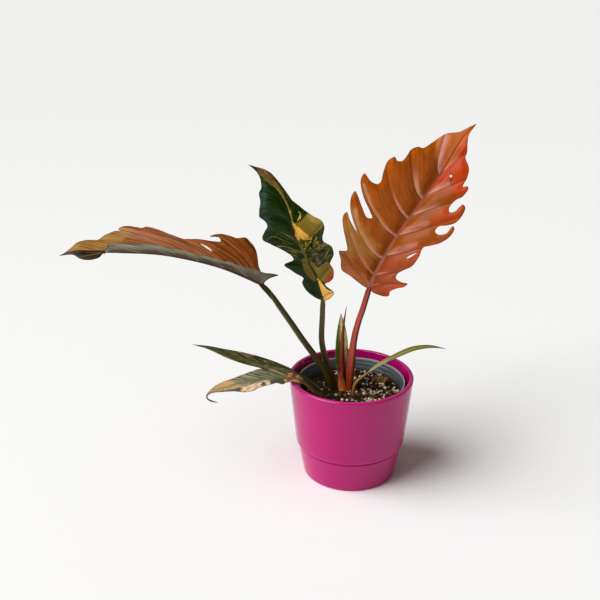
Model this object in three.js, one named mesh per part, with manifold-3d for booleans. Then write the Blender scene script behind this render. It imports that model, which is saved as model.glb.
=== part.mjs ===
// Potted caramel marble philodendron: six leaves, a rolled new leaf and a young leaf on a short
// buried stem, growing in a plastic nursery pot of mix that stands inside a glazed cover pot.
// Millimetres, +Z up. The origin is the centre of the cover pot's flat underside, and -Y is the
// side that the plant is looked at from.
import * as THREE from "three";
import { TessellateModifier } from "three/addons/modifiers/TessellateModifier.js";
import { mergeVertices } from "three/addons/utils/BufferGeometryUtils.js";
import Module from "manifold-3d";

const wasm = await Module();
wasm.setup();

// Clearances and thicknesses
const GAP = 0.3; // between pieces that touch
const POCKET = 0.35; // round a stalk or root where it passes through the mix
const BLADE_THICKNESS = 0.8;
const RIB_STEP = 18; // spacing of the points along a midrib
const LEAD_IN = 4; // the straight stretch of a stalk below its blade

// How finely round and bent shapes are divided
const POT_SIDES = 40;
const STALK = { sides: 8, steps: 9 };
const STEM = { sides: 12, steps: 10 };
const ROOT = { sides: 6, steps: 6 };
const BLADE = { longestEdge: 26, passes: 8 };
const LANCE = { rows: 14, columns: 4, foot: 1.6, tip: 0.4 }; // half widths at the two ends
const MERGE_DISTANCE = 1e-4;
const STRAIGHT = 1e-6; // a turn smaller than this, in radians, is no turn

// Cover pot: a 14 cm glazed pot, 12 cm high, narrower below a waist
const COVER = {
  height: 120,
  rimRadius: 70,
  wall: 5,
  lip: 2.2, // rounding of the rim
  innerLip: 1.6,
  waistHeight: 40,
  waistRadius: 62.2,
  waistRise: 2, // height of the waist's small shoulder
  waistStep: 0.8, // and how far it stands back at its foot
  bandRadius: 59.6, // just below the waist
  grooveDrop: 2.6, // from the waist down to a fine groove
  grooveHalf: 0.8,
  grooveDepth: 0.4,
  baseRadius: 53.4,
  baseRounding: 2.5,
  floor: 6,
  floorFillet: 4,
};

// Nursery pot: a 12 cm plastic pot standing on the cover pot's floor
const NURSERY = {
  rimHeight: 112.8,
  rimRadius: 60.6,
  rimBand: 9, // height of the rim's upright band
  rimOverhang: 2.6, // how far the band stands out from the wall below
  rimDraft: 0.3, // the band leans out this much
  wall: 1.2,
  ringDrop: 5, // from the rim down to each of the two steps inside
  ringStep: 1.4,
  ringSlope: 0.8, // height of each step's sloping face
  ringDraft: 0.2,
  baseRadius: 43,
  floor: 1.6,
  drainHoles: 6,
  drainRadius: 4,
  drainCircle: 28,
  drainSides: 12,
};

// Potting mix: slightly mounded, about 14 mm below the nursery pot's rim
const MIX = { edgeHeight: 98.2, crownHeight: 99.6, mound: 26 };

// Geometry helpers

const vector = ([x, y, z]) => new THREE.Vector3(x, y, z);

const curveThrough = (points) =>
  new THREE.CatmullRomCurve3(points, false, "catmullrom", 0.5);

// A closed mesh as a solid for joining and cutting.
function toSolid(geometry) {
  const bare = geometry.clone();
  bare.deleteAttribute("normal");
  bare.deleteAttribute("uv");
  const merged = mergeVertices(bare, MERGE_DISTANCE);
  const mesh = new wasm.Mesh({
    numProp: 3,
    vertProperties: merged.attributes.position.array,
    triVerts: new Uint32Array(merged.index.array),
  });
  return new wasm.Manifold(mesh);
}

function toGeometry(solid) {
  const mesh = solid.getMesh();
  const geometry = new THREE.BufferGeometry();
  geometry.setAttribute("position", new THREE.BufferAttribute(mesh.vertProperties, 3));
  geometry.setIndex(new THREE.BufferAttribute(mesh.triVerts, 1));
  return geometry;
}

// A turned shape about the Z axis from [radius, height] pairs.
function turned(profile, sides) {
  const points = profile.map(([radius, height]) => new THREE.Vector2(radius, height));
  return new THREE.LatheGeometry(points, sides).rotateX(Math.PI / 2);
}

// Points of an arc from one angle to another, in degrees.
function arc(centreRadius, centreHeight, radius, from, to, steps) {
  return Array.from({ length: steps + 1 }, (_, i) => {
    const angle = THREE.MathUtils.degToRad(from + ((to - from) * i) / steps);
    return [centreRadius + radius * Math.cos(angle), centreHeight + radius * Math.sin(angle)];
  });
}

// A round stalk: a cylinder bent along a path, its radius read from an even list along it.
// A pocket for it is the same shape, grown all round and at both ends.
function stalk(path, radii, { sides, steps } = STALK, grow = 0) {
  const geometry = new THREE.CylinderGeometry(1, 1, 1, sides, steps);
  const frames = path.computeFrenetFrames(steps, false);
  const position = geometry.attributes.position;
  const across = new THREE.Vector3();
  for (let i = 0; i < position.count; i++) {
    const ring = Math.round((position.getY(i) + 0.5) * steps);
    const share = ring / steps;
    const place = share * (radii.length - 1);
    const before = Math.min(Math.floor(place), radii.length - 2);
    const radius = grow + THREE.MathUtils.lerp(radii[before], radii[before + 1], place - before);
    const point = path.getPointAt(share);
    const past = ring === 0 ? -grow : ring === steps ? grow : 0;
    point.addScaledVector(frames.tangents[ring], past);
    across.copy(frames.normals[ring]).multiplyScalar(position.getX(i) * radius);
    point.add(across);
    across.copy(frames.binormals[ring]).multiplyScalar(-position.getZ(i) * radius);
    point.add(across);
    position.setXYZ(i, point.x, point.y, point.z);
  }
  return geometry;
}

// Leaf blades
// A blade is drawn flat as two outlines of [along the midrib, across from it] and then bent:
// the midrib follows a curve, the upper face looks along face, and each half turns up from the
// midrib by fold degrees, changing by curl degrees with each millimetre outwards.
// "left" and "right" are as seen looking at the upper face with the tip up.

function rowAt(rows, share) {
  const last = rows.length - 1;
  const next = rows.findIndex((row) => row.at >= share);
  if (next <= 0) return next === 0 ? rows[0] : rows[last];
  const a = rows[next - 1];
  const b = rows[next];
  const mix = (share - a.at) / (b.at - a.at);
  return {
    left: a.left.map((value, i) => THREE.MathUtils.lerp(value, b.left[i], mix)),
    right: a.right.map((value, i) => THREE.MathUtils.lerp(value, b.right[i], mix)),
  };
}

// The midrib's place and the blade's axes at a distance along it, which may lie past either end.
function ribFrame(leaf, along) {
  const inside = THREE.MathUtils.clamp(along / leaf.length, 0, 1);
  const point = leaf.curve.getPointAt(inside);
  const forward = leaf.curve.getTangentAt(inside);
  point.addScaledVector(forward, along - inside * leaf.length);
  const face = vector(leaf.faceBase).lerp(vector(leaf.faceTip), inside);
  const up = face.addScaledVector(forward, -face.dot(forward)).normalize();
  const side = new THREE.Vector3().crossVectors(forward, up);
  return { point, forward, up, side, share: inside };
}

function bend(leaf, along, across, lift) {
  const { point, up, side, share } = ribFrame(leaf, along);
  const [fold, curl] = rowAt(leaf.folds, share)[across < 0 ? "left" : "right"];
  const width = Math.abs(across);
  const sign = Math.sign(across);
  const start = THREE.MathUtils.degToRad(fold);
  const turn = THREE.MathUtils.degToRad(curl) * width;
  const chord = start + turn / 2;
  const reach = Math.abs(turn) < STRAIGHT ? width : (width * Math.sin(turn / 2)) / (turn / 2);
  const tilt = sign === 0 ? 0 : start + turn;
  return point
    .addScaledVector(side, sign * reach * Math.cos(chord) - sign * lift * Math.sin(tilt))
    .addScaledVector(up, reach * Math.sin(chord) + lift * Math.cos(tilt));
}

// One half's flat contour: out along the midrib, back along its outline.
function halfContour(leaf, outline, sign) {
  const ribPoints = Math.round(leaf.length / RIB_STEP);
  const rib = Array.from({ length: ribPoints + 1 }, (_, i) => [(leaf.length * i) / ribPoints, 0]);
  const edge = outline.map(([along, across]) => [along, sign * across]).reverse();
  return { rib, edge, all: [...rib, ...edge].map(([x, y]) => new THREE.Vector2(x, y)) };
}

// A blade with lobes.
function lobedBlade(leaf) {
  const corners = [];
  const half = BLADE_THICKNESS / 2;
  const addTriangle = (a, b, c) => corners.push(...a, ...b, ...c);
  for (const [outline, sign] of [
    [leaf.left, -1],
    [leaf.right, 1],
  ]) {
    const { rib, edge, all } = halfContour(leaf, outline, sign);
    for (const face of THREE.ShapeUtils.triangulateShape(all, [])) {
      const [a, b, c] = face.map((index) => all[index]);
      const turnsLeft = (b.x - a.x) * (c.y - a.y) - (b.y - a.y) * (c.x - a.x) > 0;
      const [p, q, r] = turnsLeft ? [c, b, a] : [a, b, c];
      addTriangle([p.x, p.y, half], [q.x, q.y, half], [r.x, r.y, half]);
      addTriangle([r.x, r.y, -half], [q.x, q.y, -half], [p.x, p.y, -half]);
    }
    const border = [rib.at(-1), ...edge, rib[0]];
    for (let i = 0; i + 1 < border.length; i++) {
      const [from, to] = sign > 0 ? [border[i], border[i + 1]] : [border[i + 1], border[i]];
      addTriangle([...from, half], [...to, half], [...to, -half]);
      addTriangle([...from, half], [...to, -half], [...from, -half]);
    }
  }
  const flat = new THREE.BufferGeometry();
  flat.setAttribute("position", new THREE.Float32BufferAttribute(corners, 3));
  const fine = new TessellateModifier(BLADE.longestEdge, BLADE.passes).modify(flat);
  const position = fine.attributes.position;
  for (let i = 0; i < position.count; i++) {
    const bent = bend(leaf, position.getX(i), position.getY(i), position.getZ(i));
    position.setXYZ(i, bent.x, bent.y, bent.z);
  }
  return fine;
}

// The distance from the midrib to an outline without lobes.
function widthAt(leaf, outline, along) {
  const points = [[0, LANCE.foot], ...outline, [leaf.length, LANCE.tip]];
  const next = points.findIndex(([place], i) => i > 0 && (place >= along || !points[i + 1]));
  const [[from, start], [to, end]] = points.slice(next - 1, next + 1);
  return THREE.MathUtils.mapLinear(along, from, to, start, end);
}

// A blade without lobes: a thin box, drawn in to its outline in rows and then bent.
function lanceBlade(leaf) {
  const { rows, columns } = LANCE;
  const geometry = new THREE.BoxGeometry(1, 2, BLADE_THICKNESS, leaf.rows ?? rows, columns, 1);
  const position = geometry.attributes.position;
  for (let i = 0; i < position.count; i++) {
    const along = (position.getX(i) + 0.5) * leaf.length;
    const share = -position.getY(i);
    const across = share * widthAt(leaf, share < 0 ? leaf.left : leaf.right, along);
    const bent = bend(leaf, along, across, position.getZ(i));
    position.setXYZ(i, bent.x, bent.y, bent.z);
  }
  return geometry;
}

function withCurve(leaf) {
  const curve = curveThrough(leaf.midrib.map(vector));
  return { ...leaf, curve, length: curve.getLength() };
}

// A plain lance outline: [share of the length, half width] pairs as [along, across].
const lance = (length, rows) => rows.map(([share, across]) => [share * length, across]);

// The leaves
// Each midrib runs from the top of its stalk to the tip.

const uprightLeaf = withCurve({
  midrib: [
    [17, 5, 220],
    [26, 2, 245],
    [44, -2, 282],
    [69, -3, 322],
    [86, 0, 348],
    [101, 5, 373.5],
    [111, 9, 387.5],
    [123.5, 15, 398],
  ],
  faceBase: [-0.12, -1, 0.1],
  faceTip: [-0.05, -1, 0.15],
  folds: [
    { at: 0, left: [20, -0.25], right: [32, -0.3] },
    { at: 1, left: [14, -0.1], right: [24, -0.2] },
  ],
  // basal lobe, five deep lobes, then the shoulder below the tip
  left: [
    [5, 12.5], [11, 25], [15, 37], [23, 42], [30, 47.5], [34, 40.5],
    [42, 45.5], [53.5, 55.5], [62.5, 61.5], [67.5, 60.5], [62.5, 53], [55.5, 40.5],
    [63, 49.5], [72.5, 60], [81, 65], [87.5, 65], [86, 61.5], [78, 49.5], [72, 39], [74, 34.5],
    [78.5, 40.5], [86, 53], [94, 62.5], [100, 67], [107, 67.5], [104, 57.5], [105, 50],
    [109, 48.5], [120, 52.5], [129.5, 54.5], [136.5, 51], [134.5, 47], [137, 42.5],
    [146, 41], [154, 40.5], [160, 35.5], [161, 31],
    [171.5, 24.5], [184, 17.5], [193, 6.5], [205.5, 2],
  ],
  // basal lobe, a notch, four hooked lobes, then the shoulder
  right: [
    [1, 10.5], [3.5, 20], [7, 25], [12, 24.5], [20, 29.5], [27.5, 36], [33, 37.5], [30.5, 31],
    [30.5, 24], [35, 22.5], [42.5, 26], [52.5, 32], [66, 33], [77, 31],
    [83, 35.5], [93, 43], [103.5, 46.5], [112, 45.5], [113, 42.5], [103.5, 41.5], [98, 35.5],
    [98.5, 31], [104.5, 31], [110.5, 37.5], [116.5, 42.5], [125, 44], [133.5, 42], [135, 38],
    [131.5, 36.5], [125.5, 35.5], [122, 31.5], [125, 28.5],
    [134, 29], [141, 33], [149.5, 33.5], [151, 31.5], [148.5, 27.5],
    [156.5, 26.5], [165, 24], [169, 20.5], [174.5, 14], [180, 12.5], [189.5, 7], [197, 3],
    [205, 1.2],
  ],
});

const greenLeaf = withCurve({
  midrib: [
    [-31.5, 6, 205.5],
    [-40, 2, 234.5],
    [-49, -1, 255],
    [-60.5, -3, 283.5],
    [-72, 0, 319.5],
    [-92, 10, 344.5],
    [-111.5, 18, 355],
  ],
  faceBase: [-0.35, -1, 0.1],
  faceTip: [-0.45, -1, 0.2],
  folds: [
    { at: 0, left: [22, -0.2], right: [28, -0.3] },
    { at: 0.6, left: [22, -0.15], right: [32, -0.2] },
    { at: 0.68, left: [22, -0.15], right: [52, -0.1] },
    { at: 1, left: [24, 0], right: [60, 0] },
  ],
  left: [
    [9.5, 9], [20, 15], [32, 16], [36, 13], [49, 19.5], [59.5, 25], [60.5, 14], [64.5, 13.5],
    [74, 19], [84.5, 29], [90.5, 36], [98.5, 30.5], [101.5, 27.5], [107, 27.5],
    [118, 32], [129, 29], [138, 23], [148, 18], [150.5, 13], [156.5, 8.5], [167.5, 3],
  ],
  right: [
    [8, 14], [15.5, 19.5], [24, 11], [29, 20.5], [34, 27], [42, 31], [49, 30.5],
    [62, 42], [71, 43.5], [78, 37], [88, 43], [95, 46.5], [101, 44.5], [108, 31],
    [121, 23], [134, 21.5], [152, 20.5], [158, 18], [168, 6],
  ],
});

const archingLeaf = withCurve({
  midrib: [
    [-96.5, -6, 229.5],
    [-118, -6, 240],
    [-142, -6, 250],
    [-172.5, -5, 258],
    [-208, -4, 264],
    [-249, -3, 265.5],
    [-272, -4, 266],
    [-295, -6, 267],
    [-312, -8, 263],
  ],
  faceBase: [0, -0.05, 1],
  faceTip: [0, -0.1, 1],
  folds: [
    { at: 0, left: [48, 0], right: [32, -0.15] },
    { at: 0.1, left: [44, 0], right: [32, -0.15] },
    { at: 0.75, left: [42, 0], right: [28, -0.15] },
    { at: 0.8, left: [-20, 0], right: [28, -0.15] },
    { at: 1, left: [-35, 0], right: [26, -0.1] },
  ],
  // the half towards the viewer, with a hooked basal lobe
  left: [
    [1, 9], [-1, 22], [-6, 36], [3, 31], [8, 28], [17, 28], [30, 24], [44, 22.5], [47, 17.5],
    [64, 19], [78, 18], [86, 21.5], [104, 23.5], [120, 26.5], [139, 24.5], [156, 27],
    [165, 25], [172, 16], [175, 3.5], [179, 9], [186, 12], [194, 12], [201, 9], [207, 4],
    [215, 1.5],
  ],
  right: [
    [6, 12], [12, 20], [17, 32], [22.5, 42], [30, 48], [35, 50.5], [43, 45.5], [51.5, 44.5],
    [59.5, 43.5], [67, 39.5], [70, 35.5], [61, 38], [58, 33],
    [65.5, 30], [75.5, 29], [84, 28], [92, 25.5], [96, 25], [110, 28.5], [125, 34],
    [135.5, 36.5], [140.5, 34.5], [145, 35.5], [153, 37], [160.5, 36], [164, 32.5],
    [161, 30.5], [167.5, 29], [175, 24.5], [183, 17], [195.5, 15], [204, 12], [208, 7],
    [216, 2],
  ],
});

const lowerLeaf = withCurve({
  midrib: [
    [-53, -21.5, 122],
    [-62, -24, 126.2],
    [-79.5, -26.5, 128],
    [-99, -27, 126.6],
    [-123.5, -26, 121.5],
    [-143.5, -24, 114.5],
    [-157.5, -23, 108],
    [-161, -22.5, 102.5],
    [-157, -22, 98],
    [-148, -22, 95.5],
  ],
  rows: 34, // more than the others have, because its drip tip curls under
  faceBase: [0, -0.3, 0.95],
  faceTip: [-0.4, -0.6, 0.6],
  folds: [
    { at: 0, left: [-12, 0], right: [8, -0.5] },
    { at: 0.75, left: [-18, 0], right: [6, -0.5] },
    { at: 1, left: [0, 0], right: [0, 0] },
  ],
  left: [
    [3, 3], [9, 3], [16, 2.2], [22, 6], [26, 7.5], [32, 5.5], [38, 7], [45, 8], [52, 9],
    [59, 11.5], [69, 11], [80, 7.5],
    [91, 5], [101, 2.5], [108, 1.2], [114, 0.9], [126, 0.8],
  ],
  right: [
    [3, 3], [9, 4.5], [20, 8], [32, 12], [46, 14.2], [58, 12.5], [70, 10], [80, 8], [91, 6],
    [101, 3.5], [108, 1.4], [114, 0.9], [126, 0.8],
  ],
});

const upperSmallLeaf = withCurve({
  midrib: [
    [-60, 1.5, 120.4],
    [-67, 1, 123.4],
    [-80, 0, 128.7],
    [-100, -1, 134.6],
    [-119, -2, 140.3],
    [-138, -2, 146],
    [-157.5, -3, 153.7],
    [-177, -4, 158.5],
  ],
  faceBase: [0, -0.5, 0.9],
  faceTip: [0, -0.5, 0.9],
  folds: [
    { at: 0, left: [16, 0], right: [20, 0] },
    { at: 1, left: [10, 0], right: [20, 0] },
  ],
  left: [
    [5, 3.5], [18, 7], [36, 9.5], [54, 9.5], [74, 8], [92, 5], [108, 2.2],
  ],
  right: [
    [6, 2], [20, 3.6], [38, 5.8], [58, 6.6], [78, 5.5], [96, 3], [108, 1.6],
  ],
});

const strapLeaf = withCurve({
  midrib: [
    [16.5, -9, 125],
    [31.5, -6, 135],
    [44.5, -4, 141.5],
    [54, -2, 145.5],
    [67, 0, 150.5],
    [80, 1, 152.8],
    [91.5, 2, 152.6],
    [105.5, 4, 149.4],
  ],
  faceBase: [-0.5, -0.6, 0.8],
  faceTip: [0, -0.5, 0.9],
  folds: [
    { at: 0, left: [28, 0], right: [28, 0] },
    { at: 1, left: [15, 0], right: [15, 0] },
  ],
  left: lance(97, [[0.08, 1.8], [0.3, 2.8], [0.52, 3.3], [0.72, 2.6], [0.88, 1.3]]),
  right: lance(97, [[0.08, 1.8], [0.3, 3], [0.52, 3.6], [0.72, 2.8], [0.88, 1.4]]),
});

const youngLeaf = withCurve({
  midrib: [
    [-11.2, 12.5, 113],
    [-11.6, 13, 125],
    [-11.4, 13.5, 150],
    [-11.8, 14.2, 174],
    [-12, 15, 188.5],
  ],
  faceBase: [0.05, -1, 0.1],
  faceTip: [0.05, -1, 0.1],
  folds: [
    { at: 0, left: [38, 0], right: [38, 0] },
    { at: 1, left: [30, 0], right: [30, 0] },
  ],
  left: lance(76, [[0.06, 4], [0.25, 7.5], [0.48, 8], [0.7, 6], [0.87, 3]]),
  right: lance(76, [[0.06, 4], [0.25, 8], [0.48, 9], [0.7, 7], [0.87, 3.5]]),
});

// The buried stem and roots
// The stem creeps just under the surface. Stalks are cut to stand on it with a small gap.

const STEM_PATH = curveThrough([
  vector([-38, -8, 84]),
  vector([-26, -4, 86]),
  vector([-12, 2, 87]),
  vector([2, 0, 86]),
  vector([10, -4, 84]),
]);
const STEM_RADII = [3.5, 7.5, 8.5, 8, 3.5];
const ROOT_ENDS = [
  [-40, -20, 40],
  [-34, 24, 46],
  [-8, 36, 34],
  [-6, -34, 42],
  [26, -18, 44],
  [30, 18, 38],
];
const ROOT_RADII = [2.2, 1.8, 1.5, 1];
const ROOT_SPAN = [0.2, 0.8]; // the roots leave the stem between these shares of its length
const SHOULDER = { along: 0.55, down: 0.3 }; // where a root turns down, as shares of its way

const stemBody = (grow) => toSolid(stalk(STEM_PATH, STEM_RADII, STEM, grow));

// A root leaves the stem, spreads out under it and then turns down.
function root(end, index, grow) {
  const place = THREE.MathUtils.lerp(...ROOT_SPAN, index / (ROOT_ENDS.length - 1));
  const start = STEM_PATH.getPointAt(place);
  const goal = vector(end);
  const shoulder = start.clone().lerp(goal, SHOULDER.along);
  shoulder.z = THREE.MathUtils.lerp(start.z, goal.z, SHOULDER.down);
  return toSolid(stalk(curveThrough([start, shoulder, goal]), ROOT_RADII, ROOT, grow));
}

const stemAndRoots = (grow) =>
  ROOT_ENDS.reduce((body, end, index) => body.add(root(end, index, grow)), stemBody(grow));

const stemKeepOut = stemBody(POCKET);

// Stalks

// The last stretch of a stalk runs straight into its blade's base, short of it by the gap.
function stalkPath(points, leaf) {
  const { point, forward } = ribFrame(leaf, 0);
  const lead = point.clone().addScaledVector(forward, -LEAD_IN);
  const end = point.clone().addScaledVector(forward, -GAP);
  return curveThrough([...points.map(vector), lead, end]);
}

const STALKS = {
  upright_leaf_petiole: {
    path: stalkPath(
      [
        [-4, -1, 86], [-2.2, -2, 101], [-0.3, -1, 135.5], [2.7, 0, 164.5], [6.8, 2, 183],
        [11.5, 3.5, 198],
      ],
      uprightLeaf,
    ),
    radii: [3, 3.4, 4.4, 4, 3.6, 3.4, 3.2, 3.1, 3],
    color: 0xb5483a,
  },
  green_leaf_petiole: {
    path: stalkPath(
      [
        [-17.5, 6.2, 86.5], [-18.4, 10, 102], [-24, 10, 119], [-30, 9, 139.5], [-33.4, 8.3, 160],
        [-32.8, 7, 190],
      ],
      greenLeaf,
    ),
    radii: [3.2, 3.6, 3.6, 3.4, 3.2, 3.1, 2.9, 2.4],
    color: 0x5c6a40,
  },
  arching_leaf_petiole: {
    path: stalkPath(
      [
        [-14, 0, 86], [-18.2, 1, 100], [-27.2, 0, 119.5], [-37.5, -1, 137], [-53, -3, 161],
        [-66.5, -4, 183], [-80.4, -5, 205], [-90, -6, 219.5],
      ],
      archingLeaf,
    ),
    radii: [3.6, 4.2, 4, 3.8, 3.5, 3.3, 3.1, 3, 2.8],
    color: 0x4a4a1c,
  },
  upper_small_leaf_petiole: {
    path: stalkPath([[-29, 0, 86], [-35, 5.5, 99], [-50, 4, 112]], upperSmallLeaf),
    radii: [1.9, 2.1, 2, 1.9, 1.8],
    color: 0x3c5a28,
  },
  lower_leaf_petiole: {
    path: stalkPath(
      [[-27, -6, 86], [-30.5, -14, 98], [-41, -19, 108], [-47, -20.5, 115]],
      lowerLeaf,
    ),
    radii: [2, 2.4, 2.5, 2.3, 2],
    color: 0xb0622c,
  },
  strap_leaf_petiole: {
    path: stalkPath([[1, -3, 86], [3.6, -11, 97], [2.4, -12, 107], [6.5, -11, 116.5]], strapLeaf),
    radii: [1.6, 1.9, 1.9, 1.7, 1.6],
    color: 0xc07a50,
  },
};

const SPEAR = {
  path: curveThrough(
    [
      [-8, 2, 86], [-7.6, 4, 100], [-8.8, 3.4, 118], [-10.4, 3, 137], [-10.4, 2.6, 161],
      [-9.2, 2.2, 183], [-6.8, 2, 201],
    ].map(vector),
  ),
  radii: [2.6, 3, 3.2, 2.9, 2.3, 1.8, 1.3, 0.8, 0.35],
};

const YOUNG_STALK = {
  path: stalkPath([[-9.5, 6, 86], [-11.2, 11.2, 100]], youngLeaf),
  radii: [2, 2, 2, 2],
};

// A dry papery sheath, open towards the upright leaf's stalk, round the foot of the rolled leaf.
const SHEATH = {
  centre: [-8, 3.8],
  bottom: 100.2,
  top: 127,
  radiusBottom: 5.2,
  radiusTop: 4.4,
  wall: 0.8,
  spine: [0.13, 0.34], // the shares of the rolled leaf's length that it wraps
  from: 85, // degrees round the rolled leaf
  to: 262,
  steps: 8,
  rows: 3,
};

function sheath() {
  const { centre, bottom, top, radiusBottom, radiusTop, wall, spine, rows } = SHEATH;
  const outline = (radius) =>
    arc(0, 0, radius, SHEATH.from, SHEATH.to, SHEATH.steps).map(([x, y]) => new THREE.Vector2(x, y));
  const shape = new THREE.Shape([...outline(1), ...outline(1 - wall / radiusBottom).reverse()]);
  const geometry = new THREE.ExtrudeGeometry(shape, {
    depth: 1,
    bevelEnabled: false,
    steps: rows,
  });
  const position = geometry.attributes.position;
  for (let i = 0; i < position.count; i++) {
    const share = position.getZ(i);
    const radius = THREE.MathUtils.lerp(radiusBottom, radiusTop, share);
    const middle = SPEAR.path.getPointAt(THREE.MathUtils.lerp(...spine, share));
    const x = (share > 0 ? middle.x : centre[0]) + position.getX(i) * radius;
    const y = (share > 0 ? middle.y : centre[1]) + position.getY(i) * radius;
    position.setXYZ(i, x, y, THREE.MathUtils.lerp(bottom, top, share));
  }
  return geometry;
}

// The pots and the mix

function coverPot() {
  const c = COVER;
  const lipCentre = c.rimRadius - c.lip;
  const grooveHeight = c.waistHeight - c.grooveDrop;
  const innerLipCentre = c.rimRadius - c.wall + c.innerLip;
  const floorRadius = c.baseRadius - c.wall;
  const outside = [
    [0, 0],
    ...arc(c.baseRadius - c.baseRounding, c.baseRounding, c.baseRounding, -90, 0, 3),
    [c.bandRadius, grooveHeight - c.grooveHalf],
    [c.bandRadius - c.grooveDepth, grooveHeight],
    [c.bandRadius, grooveHeight + c.grooveHalf],
    [c.waistRadius - c.waistStep, c.waistHeight],
    [c.waistRadius, c.waistHeight + c.waistRise],
    ...arc(lipCentre, c.height - c.lip, c.lip, 0, 90, 3),
  ];
  const inside = [
    ...arc(innerLipCentre, c.height - c.innerLip, c.innerLip, 90, 180, 2),
    [c.waistRadius - c.wall, c.waistHeight],
    [floorRadius, c.floor + c.floorFillet],
    [floorRadius - c.floorFillet, c.floor],
    [0, c.floor],
  ];
  return turned([...outside, ...inside], POT_SIDES);
}

function nurseryPot() {
  const n = NURSERY;
  const bottom = COVER.floor + GAP;
  const bandFoot = n.rimHeight - n.rimBand;
  const wallTop = n.rimRadius - n.rimOverhang;
  const firstRing = n.rimHeight - n.ringDrop;
  const secondRing = firstRing - n.ringDrop;
  const lipRadius = n.rimRadius - n.wall;
  const stepRadius = lipRadius - n.ringStep;
  const body = toSolid(
    turned(
      [
        [0, bottom],
        [n.baseRadius, bottom],
        [wallTop, bandFoot],
        [n.rimRadius - n.rimDraft, bandFoot],
        [n.rimRadius, n.rimHeight],
        [lipRadius, n.rimHeight],
        [lipRadius - n.ringDraft, firstRing],
        [stepRadius, firstRing - n.ringSlope],
        [stepRadius - n.ringDraft, secondRing],
        [wallTop - n.wall, secondRing - n.ringSlope],
        [n.baseRadius - n.wall, bottom + n.floor],
        [0, bottom + n.floor],
      ],
      POT_SIDES,
    ),
  );
  const depth = 4 * n.floor;
  const drill = new THREE.CylinderGeometry(n.drainRadius, n.drainRadius, depth, n.drainSides);
  drill.rotateX(Math.PI / 2);
  const holes = Array.from({ length: n.drainHoles }, (_, i) => {
    const angle = (2 * Math.PI * i) / n.drainHoles;
    const x = n.drainCircle * Math.cos(angle);
    const y = n.drainCircle * Math.sin(angle);
    return toSolid(drill.clone().translate(x, y, bottom));
  });
  return toGeometry(holes.reduce((pot, hole) => pot.subtract(hole), body));
}

// The mix fills the nursery pot, with pockets for the stem, the roots and the stalks.
function pottingMix() {
  const n = NURSERY;
  const bottom = COVER.floor + GAP + n.floor + GAP;
  const footRadius = n.baseRadius - n.wall - 2 * GAP;
  const wallHeight = n.rimHeight - n.rimBand - COVER.floor - GAP;
  const slope = (n.rimRadius - n.rimOverhang - n.baseRadius) / wallHeight;
  const edgeRadius = footRadius + slope * (MIX.edgeHeight - bottom);
  const body = toSolid(
    turned(
      [
        [0, bottom],
        [footRadius, bottom],
        [edgeRadius, MIX.edgeHeight],
        [MIX.mound, MIX.crownHeight],
        [0, MIX.crownHeight],
      ],
      POT_SIDES,
    ),
  );
  const stalks = [...Object.values(STALKS), SPEAR, YOUNG_STALK].map(({ path, radii }) =>
    toSolid(stalk(path, radii, STALK, POCKET)),
  );
  const cutters = [stemAndRoots(POCKET), ...stalks];
  return toGeometry(cutters.reduce((mix, cutter) => mix.subtract(cutter), body));
}

// A stalk ends just short of the stem that it grows on.
const stalkPiece = ({ path, radii }) =>
  toGeometry(toSolid(stalk(path, radii)).subtract(stemKeepOut));

// The assembly

const plant = new THREE.Group();

function add(name, geometry, color, roughness) {
  const finish = new THREE.MeshStandardMaterial({ color, roughness, metalness: 0 });
  const mesh = new THREE.Mesh(geometry, finish);
  mesh.name = name;
  plant.add(mesh);
}

add("cover_pot", coverPot(), 0xbf2d76, 0.15);
add("nursery_pot", nurseryPot(), 0x5f6b70, 0.45);
add("potting_mix", pottingMix(), 0x2b1d14, 0.95);
add("stem_and_roots", toGeometry(stemAndRoots(0)), 0x8a6a42, 0.8);
for (const [name, piece] of Object.entries(STALKS)) {
  add(name, stalkPiece(piece), piece.color, 0.4);
}
add("upright_leaf_blade", lobedBlade(uprightLeaf), 0xb5601c, 0.35);
add("green_leaf_blade", lobedBlade(greenLeaf), 0x1c3a10, 0.3);
add("arching_leaf_blade", lobedBlade(archingLeaf), 0xb8662e, 0.35);
add("lower_leaf_blade", lanceBlade(lowerLeaf), 0x5c6448, 0.5);
add("upper_small_leaf_blade", lanceBlade(upperSmallLeaf), 0x2e4220, 0.4);
add("strap_leaf_blade", lanceBlade(strapLeaf), 0x96903c, 0.4);
add("young_leaf_blade", lanceBlade(youngLeaf), 0x6c8a1e, 0.35);
add("young_leaf_petiole", stalkPiece(YOUNG_STALK), 0x86a040, 0.4);
add("rolled_new_leaf", stalkPiece(SPEAR), 0x8a2a26, 0.35);
add("leaf_sheath", sheath(), 0xc0622c, 0.6);

export default plant;
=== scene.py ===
"""The looks of a potted caramel marble philodendron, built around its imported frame.

Sizes are in millimetres unless a name or comment says otherwise, and become metres when a mesh is
made. A leaf blade is drawn flat, as [along the midrib, across from it], and then bent to its place.
"Left" and "right" of a blade are as seen looking at its upper face with the tip up.
"""

import logging
import math
import random
from dataclasses import dataclass
from enum import Enum
from typing import Any, Sequence

import bpy
import numpy as np
from mathutils import Euler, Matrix, Vector, kdtree, noise
from mathutils.geometry import delaunay_2d_cdt


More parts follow.
